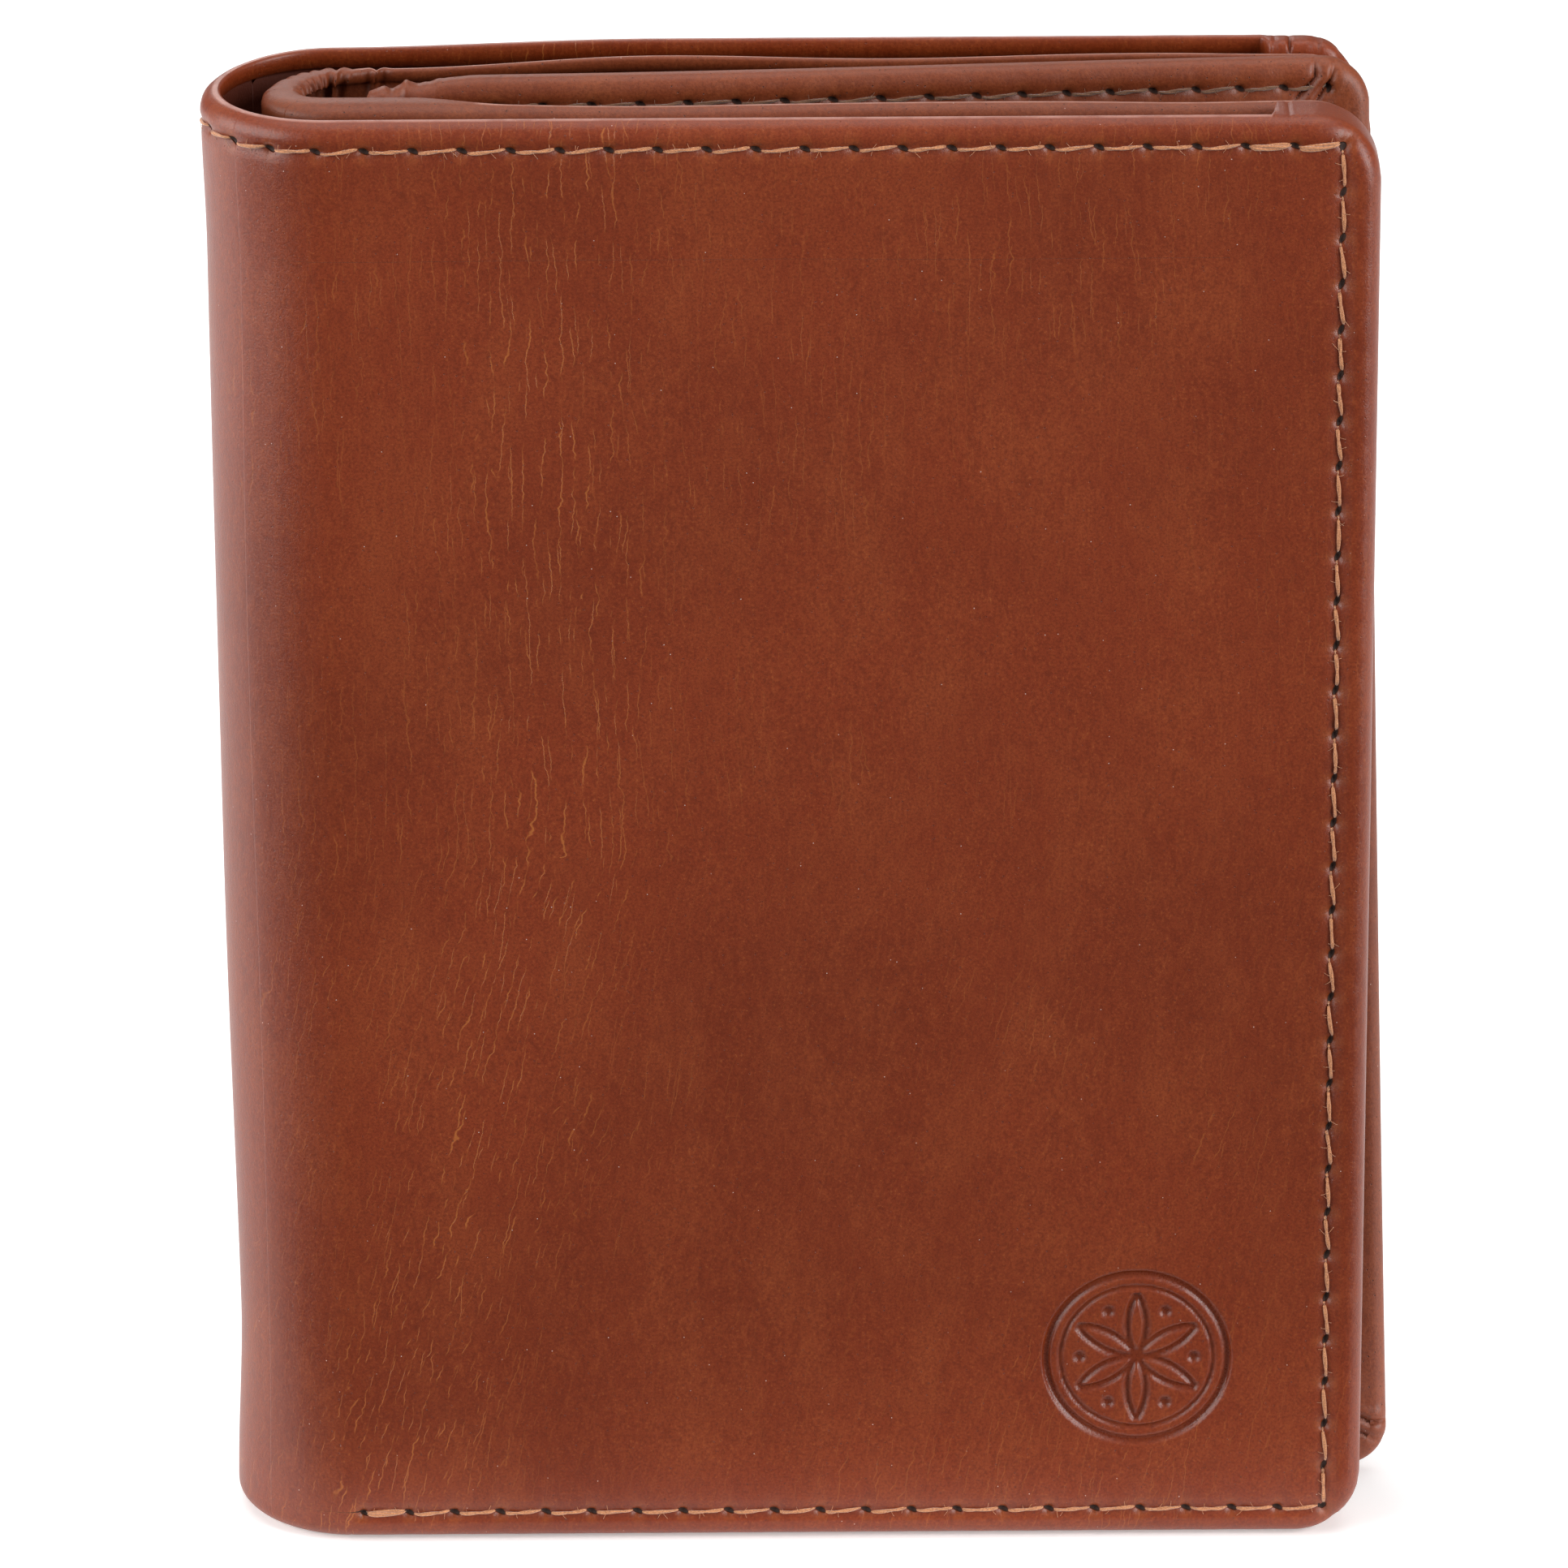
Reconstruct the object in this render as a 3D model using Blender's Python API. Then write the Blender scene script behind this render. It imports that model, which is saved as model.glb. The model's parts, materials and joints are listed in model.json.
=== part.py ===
"""Trifold leather wallet, standing upright on its bottom edge with the spine at -X.

Frame: +X runs from the spine to the free edges, +Y from the front cover to the back cover, +Z up.
The origin is the middle of the bottom of the whole object's box.

The wallet is one outer cover (front, spine, back) round an inner fold of the same shape, with a
leaf hinged inside the inner fold like a page. The spine is three narrow slats. Four hinges join
back cover, slats and front cover, and each turns a quarter of the way the front cover swings open.
The hinges stand just outside the leather, where the flat planes tangent to the slats meet, so the
slats only draw apart when the wallet opens, and the opened covers lie in one plane.
"""

from math import atan2, cos, pi, radians, sin

import bmesh
import bpy

MM = 0.001

# Overall sizes
COVER_WIDTH = 95.0 * MM  # spine to free edge, closed
COVER_HEIGHT = 125.0 * MM
CORNER_RADIUS = 5.5 * MM  # free corners of both covers
LEAF_PEEK = 2.4 * MM  # how far the leaf's lower corner stands out past the covers

# The stack through the closed wallet, from the front
SHELL_LEATHER = 1.0 * MM
LINING_FABRIC = 0.3 * MM
FRONT_NOTE_GAP = 4.3 * MM  # free space in the front note compartment
BACK_NOTE_GAP = 2.0 * MM
INNER_LEATHER = 1.0 * MM
POCKET_DEPTH = 1.4 * MM  # how far the card slots stand off the inner panel
LEAF_SPACE = 6.7 * MM  # between the card slots of the two covers
CLEARANCE = 0.3 * MM  # between sewn pieces that lie on each other

# Spine
SLATS = 3
SPINE_VOID = 5.3 * MM  # from the outside of the spine to the outside of the inner fold
SLAT_CLEARANCE = 0.3 * MM

# Cover edges
EDGE_WALL = 1.4 * MM  # turned edge that closes the note compartments
CORNER_WRAP = 8.5 * MM  # length of the turned edge along the top, from the free edge
BOTTOM_SEAM_START = 11.3 * MM  # where the closed bottom seam begins, from the outside of the spine
INNER_DROP = 0.6 * MM  # how far the inner pieces stay below the rim and above the base

# Card slots on the inner panels
SLOTS = 3
SLOT_STEP = 14.0 * MM
SLOT_BELOW_RIM = 17.0 * MM  # mouth of the highest slot
SLOT_TUCK = 3.0 * MM  # how far a slot's leather runs down behind the next one
SLOT_LEATHER = 0.4 * MM
POCKET_MARGIN = 3.4 * MM  # seam margin beside and below the slots
POCKET_FROM_FOLD = 4.0 * MM

# Leaf
LEAF_LEATHER = 0.7 * MM
WINDOW_FILM = 0.3 * MM
LEAF_DROP = 0.4 * MM  # below the rim and above the base
LEAF_CORNER = 4.0 * MM
LEAF_FROM_FOLD = 2.6 * MM  # hinge line, from the middle of the inner fold
LEAF_FORWARD = 1.0 * MM  # hinge line, forward of the middle of the leaf space
LEAF_REST_CLEARANCE = 0.6 * MM  # between the leaf's free edge and the back card slots
WINDOW_MARGIN = 12.0 * MM
WINDOW_SEAM = 3.0 * MM  # film held under the frame all round
STRIP_LEATHER = 0.9 * MM
STRIP_STANDOFF = 0.4 * MM  # between the hinge strip and the round end of the leaf

ARC_STEPS = 6

# Sizes that follow
TOTAL_WIDTH = COVER_WIDTH + LEAF_PEEK
LEFT = -TOTAL_WIDTH / 2
RIGHT = LEFT + COVER_WIDTH
NOTE_SIDES = 2 * (SHELL_LEATHER + CLEARANCE + LINING_FABRIC) + FRONT_NOTE_GAP + BACK_NOTE_GAP
INNER_FOLD_DEPTH = 2 * (INNER_LEATHER + POCKET_DEPTH) + LEAF_SPACE
THICKNESS = NOTE_SIDES + INNER_FOLD_DEPTH
SPINE_RADIUS = THICKNESS / 2
SPINE_X = LEFT + SPINE_RADIUS
LINING_OFFSET = SHELL_LEATHER + CLEARANCE
PANEL_FRONT_Y = -SPINE_RADIUS + LINING_OFFSET + LINING_FABRIC + FRONT_NOTE_GAP
PANEL_BACK_Y = SPINE_RADIUS - LINING_OFFSET - LINING_FABRIC - BACK_NOTE_GAP
FOLD_RADIUS = INNER_FOLD_DEPTH / 2
FOLD_Y = (PANEL_FRONT_Y + PANEL_BACK_Y) / 2
FOLD_X = LEFT + SPINE_VOID + FOLD_RADIUS
SLAT_ANGLE = pi / (SLATS + 1)
HINGE_RADIUS = SPINE_RADIUS / cos(SLAT_ANGLE / 2)
LEAF_THICKNESS = 2 * (LEAF_LEATHER + CLEARANCE) + WINDOW_FILM
LEAF_X = FOLD_X + LEAF_FROM_FOLD
LEAF_Y = FOLD_Y - LEAF_FORWARD
LEAF_SWAY = LEAF_SPACE / 2 - LEAF_THICKNESS / 2 - LEAF_REST_CLEARANCE + LEAF_FORWARD
LEAF_SLANT = atan2(LEAF_SWAY, RIGHT - LEAF_X)
POCKET_LEFT = FOLD_X + POCKET_FROM_FOLD
POCKET_RIGHT = RIGHT - POCKET_MARGIN

COGNAC = (0.23, 0.055, 0.022)
CHESTNUT = (0.17, 0.042, 0.020)
LINING_BROWN = (0.11, 0.035, 0.018)
CLEAR = (0.85, 0.87, 0.87)


def clear_scene():
    for item in list(bpy.data.objects):
        bpy.data.objects.remove(item, do_unlink=True)


def material(name, colour, roughness, transmission=0.0):
    made = bpy.data.materials.new(name)
    made.use_nodes = True
    shader = made.node_tree.nodes["Principled BSDF"]
    shader.inputs["Base Color"].default_value = (*colour, 1.0)
    shader.inputs["Roughness"].default_value = roughness
    shader.inputs["Metallic"].default_value = 0.0
    shader.inputs["Transmission Weight"].default_value = transmission
    made.diffuse_color = (*colour, 1.0)
    return made


def add_object(name, mesh, finish):
    mesh.materials.append(finish)
    item = bpy.data.objects.new(name, mesh)
    bpy.context.scene.collection.objects.link(item)
    return item


def mesh_from(name, points, faces):
    mesh = bpy.data.meshes.new(name)
    mesh.from_pydata(points, [], faces)
    shape = bmesh.new()
    shape.from_mesh(mesh)
    bmesh.ops.recalc_face_normals(shape, faces=shape.faces)
    shape.to_mesh(mesh)
    shape.free()
    return mesh


def extrusion(name, outline, place, low, high, finish):
    """A closed outline pushed from low to high. place(u, v, w) gives the point."""
    count = len(outline)
    points = [place(u, v, low) for u, v in outline] + [place(u, v, high) for u, v in outline]
    faces = [list(range(count)), [count + i for i in reversed(range(count))]]
    for i in range(count):
        j = (i + 1) % count
        faces.append([j, i, count + i, count + j])
    return add_object(name, mesh_from(name, points, faces), finish)


def upright(u, v, w):
    """Outline in the plane of the covers, pushed along Y."""
    return (u, w, v)


def along_x(u, v, w):
    """Outline in the plane of depth and height, pushed along X."""
    return (w, u, v)


def arc(centre, radius, start, end, steps=ARC_STEPS):
    turn = (end - start) / steps
    return [
        (centre[0] + radius * cos(start + turn * i), centre[1] + radius * sin(start + turn * i))
        for i in range(steps + 1)
    ]


def bent_sheet(name, stations, finish):
    """A sheet through stations of (outer point, inner point, lowest z, highest z)."""
    points, faces = [], []
    for outer, inner, low, high in stations:
        points += [(*outer, low), (*outer, high), (*inner, high), (*inner, low)]
    for i in range(len(stations) - 1):
        a, b = 4 * i, 4 * i + 4
        for j in range(4):
            k = (j + 1) % 4
            faces.append([a + j, a + k, b + k, b + j])
    last = 4 * len(stations) - 4
    faces += [[0, 1, 2, 3], [last + 3, last + 2, last + 1, last]]
    return add_object(name, mesh_from(name, points, faces), finish)


def arc_stations(centre, outer_radius, inner_radius, start, end, low, high):
    outer = arc(centre, outer_radius, start, end)
    inner = arc(centre, inner_radius, start, end)
    return [(a, b, low, high) for a, b in zip(outer, inner)]


def panel_stations(left, right, outer_y, inner_y, low, high, corner):
    """From a straight left edge to two round corners at the right."""
    stations = [((left, outer_y), (left, inner_y), low, high)]
    for i in range(ARC_STEPS + 1):
        turn = pi / 2 * i / ARC_STEPS
        x = right - corner + corner * sin(turn)
        inset = corner * (1 - cos(turn))
        stations.append(((x, outer_y), (x, inner_y), low + inset, high - inset))
    return stations


def boolean(item, operation, tool):
    tool.hide_render = True
    tool.display_type = "WIRE"
    change = item.modifiers.new(operation.title(), "BOOLEAN")
    change.operation = operation
    change.object = tool
    change.solver = "EXACT"


def edge_wall_outline():
    """The turned edge: along the bottom, up the free edge and round the top corner."""
    seam_left, wrap = LEFT + BOTTOM_SEAM_START, RIGHT - CORNER_WRAP
    low = (RIGHT - CORNER_RADIUS, CORNER_RADIUS)
    high = (RIGHT - CORNER_RADIUS, COVER_HEIGHT - CORNER_RADIUS)
    inside = CORNER_RADIUS - EDGE_WALL
    outline = [(seam_left, 0.0)]
    outline += arc(low, CORNER_RADIUS, -pi / 2, 0)
    outline += arc(high, CORNER_RADIUS, 0, pi / 2)
    outline += [(wrap, COVER_HEIGHT), (wrap, COVER_HEIGHT - EDGE_WALL)]
    outline += arc(high, inside, pi / 2, 0)
    outline += arc(low, inside, 0, -pi / 2)
    outline += [(seam_left, EDGE_WALL)]
    return outline


def cover_shell(name, side, panel_y, finish):
    """Outer leather of one cover. side is -1 for the front and +1 for the back."""
    outer_y = side * SPINE_RADIUS
    inner_y = side * (SPINE_RADIUS - SHELL_LEATHER)
    middle = side * pi / 2
    gap = SLAT_CLEARANCE / 2 / SPINE_RADIUS
    start = middle + side * (SLAT_ANGLE / 2 - gap)
    stations = arc_stations(
        (SPINE_X, 0.0), SPINE_RADIUS, SPINE_RADIUS - SHELL_LEATHER, start, middle, 0.0, COVER_HEIGHT
    )
    stations += panel_stations(
        SPINE_X, RIGHT, outer_y, inner_y, 0.0, COVER_HEIGHT, CORNER_RADIUS
    )[1:]
    shell = bent_sheet(name, stations, finish)
    inside_leather = side * (SPINE_RADIUS - SHELL_LEATHER / 2)
    wall = extrusion(
        name + "_turned_edge",
        edge_wall_outline(),
        upright,
        inside_leather,
        panel_y + side * CLEARANCE,
        finish,
    )
    boolean(shell, "UNION", wall)
    return shell


def note_lining(name, side, finish):
    """Thin fabric on the inside of a cover's shell, clear of the turned edge."""
    outer_y = side * (SPINE_RADIUS - LINING_OFFSET)
    inner_y = outer_y - side * LINING_FABRIC
    inset = EDGE_WALL + CLEARANCE
    stations = panel_stations(
        SPINE_X,
        RIGHT - inset,
        outer_y,
        inner_y,
        inset,
        COVER_HEIGHT - inset,
        CORNER_RADIUS - EDGE_WALL,
    )
    return bent_sheet(name, stations, finish)


def inner_panel(name, side, outer_y, finish):
    """Inner leather of one cover, with its share of the inner fold."""
    inner_y = outer_y - side * INNER_LEATHER
    middle = side * pi / 2
    gap = SLAT_CLEARANCE / 2 / FOLD_RADIUS
    low, high = INNER_DROP, COVER_HEIGHT - INNER_DROP
    stations = arc_stations(
        (FOLD_X, FOLD_Y),
        FOLD_RADIUS,
        FOLD_RADIUS - INNER_LEATHER,
        middle + side * (SLAT_ANGLE / 2 - gap),
        middle,
        low,
        high,
    )
    stations += panel_stations(FOLD_X, RIGHT, outer_y, inner_y, low, high, CORNER_RADIUS)[1:]
    return bent_sheet(name, stations, finish)


def slat(name, index, centre, radius, thickness, low, high, finish):
    """One third of the spine or of the inner fold. Slats are numbered from the back cover."""
    gap = SLAT_CLEARANCE / 2 / radius
    start = pi / 2 + SLAT_ANGLE * (index - 0.5) + gap
    end = pi / 2 + SLAT_ANGLE * (index + 0.5) - gap
    return bent_sheet(
        name, arc_stations(centre, radius, radius - thickness, start, end, low, high), finish
    )


def card_slots(prefix, side, panel_y, finish):
    """Slots from the top down, then the deep pocket. Each leans out at its mouth."""
    face = panel_y - side * INNER_LEATHER
    near, far = CLEARANCE, POCKET_DEPTH - SLOT_LEATHER
    names = [f"{prefix}_card_slot_{i + 1}" for i in range(SLOTS)] + [prefix + "_card_pocket"]
    for i, name in enumerate(names):
        mouth = COVER_HEIGHT - SLOT_BELOW_RIM - SLOT_STEP * i
        foot = POCKET_MARGIN if i == SLOTS else mouth - SLOT_STEP - SLOT_TUCK
        outline = [
            (face - side * near, foot),
            (face - side * (near + SLOT_LEATHER), foot),
            (face - side * (far + SLOT_LEATHER), mouth),
            (face - side * far, mouth),
        ]
        extrusion(name, outline, along_x, POCKET_LEFT, POCKET_RIGHT, finish)


def leaf_place(u, v, w):
    """u along the leaf from its hinge line, v up, w through it towards the back cover."""
    x = LEAF_X + u * cos(LEAF_SLANT) - w * sin(LEAF_SLANT)
    y = LEAF_Y + u * sin(LEAF_SLANT) + w * cos(LEAF_SLANT)
    return (x, y, v)


def leaf_outline():
    """Free edge slanting out towards its lower corner."""
    low, high = LEAF_DROP, COVER_HEIGHT - LEAF_DROP
    reach = (RIGHT + LEAF_PEEK - LEAF_X - LEAF_THICKNESS * sin(LEAF_SLANT) / 2) / cos(LEAF_SLANT)
    top_reach = reach - LEAF_PEEK - CLEARANCE
    outline = [(CLEARANCE, low)]
    outline += arc((reach - LEAF_CORNER, low + LEAF_CORNER), LEAF_CORNER, -pi / 2, 0)
    outline += arc((top_reach - LEAF_CORNER, high - LEAF_CORNER), LEAF_CORNER, 0, pi / 2)
    outline += [(CLEARANCE, high)]
    return outline, top_reach


def rectangle(left, right, low, high):
    return [(left, low), (right, low), (right, high), (left, high)]


def leaf(leather, film):
    outline, top_reach = leaf_outline()
    half = LEAF_THICKNESS / 2
    front = extrusion("leaf_front", outline, leaf_place, -half, -half + LEAF_LEATHER, leather)
    extrusion("leaf_back", outline, leaf_place, half - LEAF_LEATHER, half, leather)
    low, high = LEAF_DROP + WINDOW_MARGIN, COVER_HEIGHT - LEAF_DROP - WINDOW_MARGIN
    opening = extrusion(
        "window_cutter",
        rectangle(WINDOW_MARGIN, top_reach - WINDOW_MARGIN, low, high),
        leaf_place,
        -half - LEAF_LEATHER,
        -half + 2 * LEAF_LEATHER,
        leather,
    )
    boolean(front, "DIFFERENCE", opening)
    held = rectangle(
        WINDOW_MARGIN - WINDOW_SEAM,
        top_reach - WINDOW_MARGIN + WINDOW_SEAM,
        low - WINDOW_SEAM,
        high + WINDOW_SEAM,
    )
    extrusion("leaf_window", held, leaf_place, -WINDOW_FILM / 2, WINDOW_FILM / 2, film)


def hinge_strip(finish):
    """The strip that sews the leaf to the back inner panel, beside the leaf's hinge line."""
    right = LEAF_X - LEAF_THICKNESS / 2 - STRIP_STANDOFF
    back = PANEL_BACK_Y - INNER_LEATHER - CLEARANCE
    outline = rectangle(right - STRIP_LEATHER, right, LEAF_Y - LEAF_THICKNESS / 2, back)
    low, high = LEAF_DROP, COVER_HEIGHT - LEAF_DROP
    return extrusion("leaf_hinge_strip", outline, lambda u, v, w: (u, v, w), low, high, finish)


def hinge_lines():
    """Empties on the hinge lines, from the back cover to the front cover, and the leaf's."""
    places = []
    for i in range(SLATS + 1):
        angle = pi / 2 + SLAT_ANGLE * (i + 0.5)
        places.append((SPINE_X + HINGE_RADIUS * cos(angle), HINGE_RADIUS * sin(angle)))
    names = [f"spine_fold_{i + 1}_axis" for i in range(SLATS)] + ["front_fold_axis"]
    places.append((LEAF_X, LEAF_Y))
    names.append("leaf_fold_axis")
    axes = {}
    for name, (x, y) in zip(names, places):
        axis = bpy.data.objects.new(name, None)
        axis.empty_display_size = 5 * MM
        axis.location = (x, y, 0.0)
        bpy.context.scene.collection.objects.link(axis)
        axes[name] = axis
    return axes


def hang(child, parent):
    child.parent = parent
    child.matrix_parent_inverse = parent.matrix_world.inverted()


def parent_to_axes(axes):
    """Each moving piece hangs from the empty on its hinge line, and each hinge from the last."""
    bpy.context.view_layer.update()
    objects = bpy.data.objects
    chain = [f"spine_fold_{i + 1}_axis" for i in range(SLATS)] + ["front_fold_axis"]
    for before, after in zip(chain, chain[1:]):
        hang(axes[after], axes[before])
    for i in range(SLATS):
        for name in (f"spine_shell_{i + 1}", f"inner_fold_{i + 1}"):
            hang(objects[name], axes[chain[i]])
    for item in list(objects):
        if item.type == "MESH" and item.name.startswith("front_"):
            hang(item, axes["front_fold_axis"])
        if item.name in ("leaf_front", "leaf_back", "leaf_window", "window_cutter"):
            hang(item, axes["leaf_fold_axis"])


def build():
    clear_scene()
    outer = material("outer_leather", COGNAC, 0.42)
    inner = material("inner_leather", CHESTNUT, 0.55)
    lining = material("lining_fabric", LINING_BROWN, 0.8)
    film = material("window_film", CLEAR, 0.15, 0.8)

    for prefix, side, panel_y in (("front", -1, PANEL_FRONT_Y), ("back", 1, PANEL_BACK_Y)):
        cover_shell(prefix + "_shell", side, panel_y, outer)
        note_lining(prefix + "_note_lining", side, lining)
        inner_panel(prefix + "_inner_panel", side, panel_y, inner)
        card_slots(prefix, side, panel_y, inner)

    for i in range(SLATS):
        number = i + 1
        slat(
            f"spine_shell_{number}",
            number,
            (SPINE_X, 0.0),
            SPINE_RADIUS,
            SHELL_LEATHER,
            0.0,
            COVER_HEIGHT,
            outer,
        )
        slat(
            f"inner_fold_{number}",
            number,
            (FOLD_X, FOLD_Y),
            FOLD_RADIUS,
            INNER_LEATHER,
            INNER_DROP,
            COVER_HEIGHT - INNER_DROP,
            inner,
        )

    hinge_strip(inner)
    leaf(inner, film)
    parent_to_axes(hinge_lines())


build()
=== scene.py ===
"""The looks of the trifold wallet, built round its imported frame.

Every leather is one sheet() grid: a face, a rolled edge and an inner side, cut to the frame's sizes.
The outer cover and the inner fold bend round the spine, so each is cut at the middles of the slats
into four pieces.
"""

import json
from math import asin, atan2, cos, pi, radians, sin, sqrt

import bpy
import numpy as np
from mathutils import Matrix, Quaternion, Vector

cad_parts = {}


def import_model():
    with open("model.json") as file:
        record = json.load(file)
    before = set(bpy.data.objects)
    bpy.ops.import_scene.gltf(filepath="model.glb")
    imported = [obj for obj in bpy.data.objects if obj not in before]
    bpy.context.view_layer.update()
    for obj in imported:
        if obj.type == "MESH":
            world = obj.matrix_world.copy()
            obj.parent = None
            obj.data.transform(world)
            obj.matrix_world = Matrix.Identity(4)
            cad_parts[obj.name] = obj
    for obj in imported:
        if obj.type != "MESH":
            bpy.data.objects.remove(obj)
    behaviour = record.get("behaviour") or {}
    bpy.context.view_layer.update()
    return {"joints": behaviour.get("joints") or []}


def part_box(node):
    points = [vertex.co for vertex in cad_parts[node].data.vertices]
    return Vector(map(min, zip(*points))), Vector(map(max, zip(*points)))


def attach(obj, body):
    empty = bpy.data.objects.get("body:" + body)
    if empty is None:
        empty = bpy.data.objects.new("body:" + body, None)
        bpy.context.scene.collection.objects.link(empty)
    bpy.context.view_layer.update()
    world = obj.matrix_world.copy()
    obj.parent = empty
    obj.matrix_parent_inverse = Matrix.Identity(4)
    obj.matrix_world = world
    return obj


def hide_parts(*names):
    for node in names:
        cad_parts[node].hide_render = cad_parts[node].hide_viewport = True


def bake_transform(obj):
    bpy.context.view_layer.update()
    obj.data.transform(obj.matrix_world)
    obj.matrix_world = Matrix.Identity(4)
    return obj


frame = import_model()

MM = 0.001

# ---------------------------------------------------------------- sizes from the frame


def low(node):
    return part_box(node)[0]


def high(node):
    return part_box(node)[1]


HEIGHT = high("front_shell").z
RIGHT = high("front_shell").x
LEFT = low("spine_shell_2").x
FRONT_Y, BACK_Y = low("front_shell").y, high("back_shell").y
FRONT_DEPTH = high("front_shell").y - FRONT_Y
BACK_DEPTH = 3.3 * MM
PANEL_FRONT_Y, PANEL_BACK_Y = low("front_inner_panel").y, high("back_inner_panel").y
INNER_LOW, INNER_HIGH = low("front_inner_panel").z, high("front_inner_panel").z
FOLD_LEFT = low("inner_fold_2").x
RIM_LIFT = 1.0 * MM  # the back's and the leaf's rims are raised by this to fit the photo
LEAF_LOW, LEAF_HIGH = low("leaf_front").z, high("leaf_front").z + RIM_LIFT
JOINTS = {joint["name"]: joint for joint in frame["joints"]}
LEAF_AXIS = JOINTS["leaf_fold"]["pos_m"]
SLATS = 3

# ---------------------------------------------------------------- leather sizes

CORNER = 5.5 * MM
INSET = 1.6 * MM  # from the outline to the flat of a sheet
SHELL = 1.2 * MM
HEM = 1.7 * MM
PANEL = 1.1 * MM
WRAP = 8.5 * MM
SEAM_TOP = 2.3 * MM
SEAM_BOTTOM = 2.5 * MM
SEAM_SIDE = 3.1 * MM
PITCH = 3.9 * MM
GROOVE = 0.16 * MM
GROOVE_WIDTH = 0.75 * MM
FAR = 9.0 * MM

EMBLEM = (RIGHT - 18.9 * MM, 16.4 * MM)
EMBLEM_RADIUS = 8.0 * MM
EMBLEM_DEPTH = 0.30 * MM


# ---------------------------------------------------------------- small maths


def smooth(x, start, end):
    t = np.clip((x - start) / (end - start), 0, 1)
    return t * t * (3 - 2 * t)


def bump_at(x, middle, width):
    return np.exp(-(((x - middle) / width) ** 2))


def ripple(*waves):
    """A sum of plane waves (amplitude, wavelength in u, wavelength in z, phase)."""

    def value(u, z):
        total = np.zeros_like(u + z)
        for amount, long_u, long_z, phase in waves:
            total = total + amount * np.sin(2 * pi * (u / long_u + z / long_z) + phase)
        return total

    return value


def spread(start, end, step, marks=(), offsets=(0.0,)):
    """Places from start to end about a step apart, with extra ones round each mark."""
    count = max(2, int(round((end - start) / step)) + 1)
    close = [m + o for m in marks for o in offsets if start < m + o < end]
    close = np.array(sorted(close))
    base = np.linspace(start, end, count)
    if len(close):
        near = np.min(np.abs(base[:, None] - close[None, :]), axis=1)
        base = base[(near > 0.45 * step) | (base == start) | (base == end)]
    places = merged([base, close], 0.02 * MM)
    places[-1] = end
    return places


def merged(lists, gap, start=-1.0, end=1.0):
    """The places of all lists in order, without those less than gap after the one before."""
    places = np.unique(np.round(np.concatenate(lists), 7))
    places = places[(places >= start) & (places <= end)]
    return places[np.concatenate([[True], np.diff(places) > gap])]


def shares(places):
    """Places as shares of the way from the first to the last."""
    return (places - places[0]) / (places[-1] - places[0])


def corner_drop(reach, corner, inset):
    """How far a face's flat stays back at a rounded corner, reach from the free edge."""
    radius = corner - inset
    into = np.clip(corner - reach, 0, radius)
    return radius - np.sqrt(np.maximum(radius**2 - into**2, 0))


def corner_steps(corner, inset):
    """Distances from the free edge of the columns that round a corner."""
    return [inset + (corner - inset) * (1 - cos(pi / 2 * k / 12)) for k in range(13)]


# ---------------------------------------------------------------- lines seen from above


class Fold:
    """A U seen from above: from the back's free edge, round the bend, to the front's."""

    def __init__(self, left, front_y, back_y):
        self.radius = (back_y - front_y) / 2
        self.y = (back_y + front_y) / 2
        self.x = left + self.radius
        self.flat = RIGHT - self.x
        self.bend = pi * self.radius
        self.length = 2 * self.flat + self.bend

    def reach(self, u):
        """Distance to the nearer free edge."""
        return np.minimum(u, self.length - u)

    def at(self, u):
        """Point on the outside, and the direction inwards."""
        angle = pi / 2 + np.clip((u - self.flat) / self.radius, 0, pi)
        run = np.maximum(self.flat - u, 0) + np.maximum(u - self.flat - self.bend, 0)
        x = self.x + self.radius * np.cos(angle) + run
        y = self.y + self.radius * np.sin(angle)
        return x, y, -np.cos(angle), -np.sin(angle)

    def station(self, slat):
        """Distance along the outside to the middle of a slat."""
        return self.flat + self.radius * pi / (SLATS + 1) * slat

    def split(self, first, last):
        """The first place, the middles of the slats, and the last place."""
        return [first, *(self.station(slat) for slat in range(1, SLATS + 1)), last]

    def point(self, u):
        x, y, _, _ = self.at(np.array([float(u)]))
        return (float(x[0]), float(y[0]), 0.0)


class Plane:
    """A straight sheet from a point, at an angle. side is +1 where the face looks to -Y."""

    def __init__(self, x, y, angle=0.0, side=1):
        self.x, self.y, self.angle, self.side = x, y, angle, side

    def at(self, u):
        x = self.x + u * cos(self.angle)
        y = self.y + u * sin(self.angle)
        one = np.ones_like(u)
        return x, y, -sin(self.angle) * self.side * one, cos(self.angle) * self.side * one


# ---------------------------------------------------------------- seams


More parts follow.
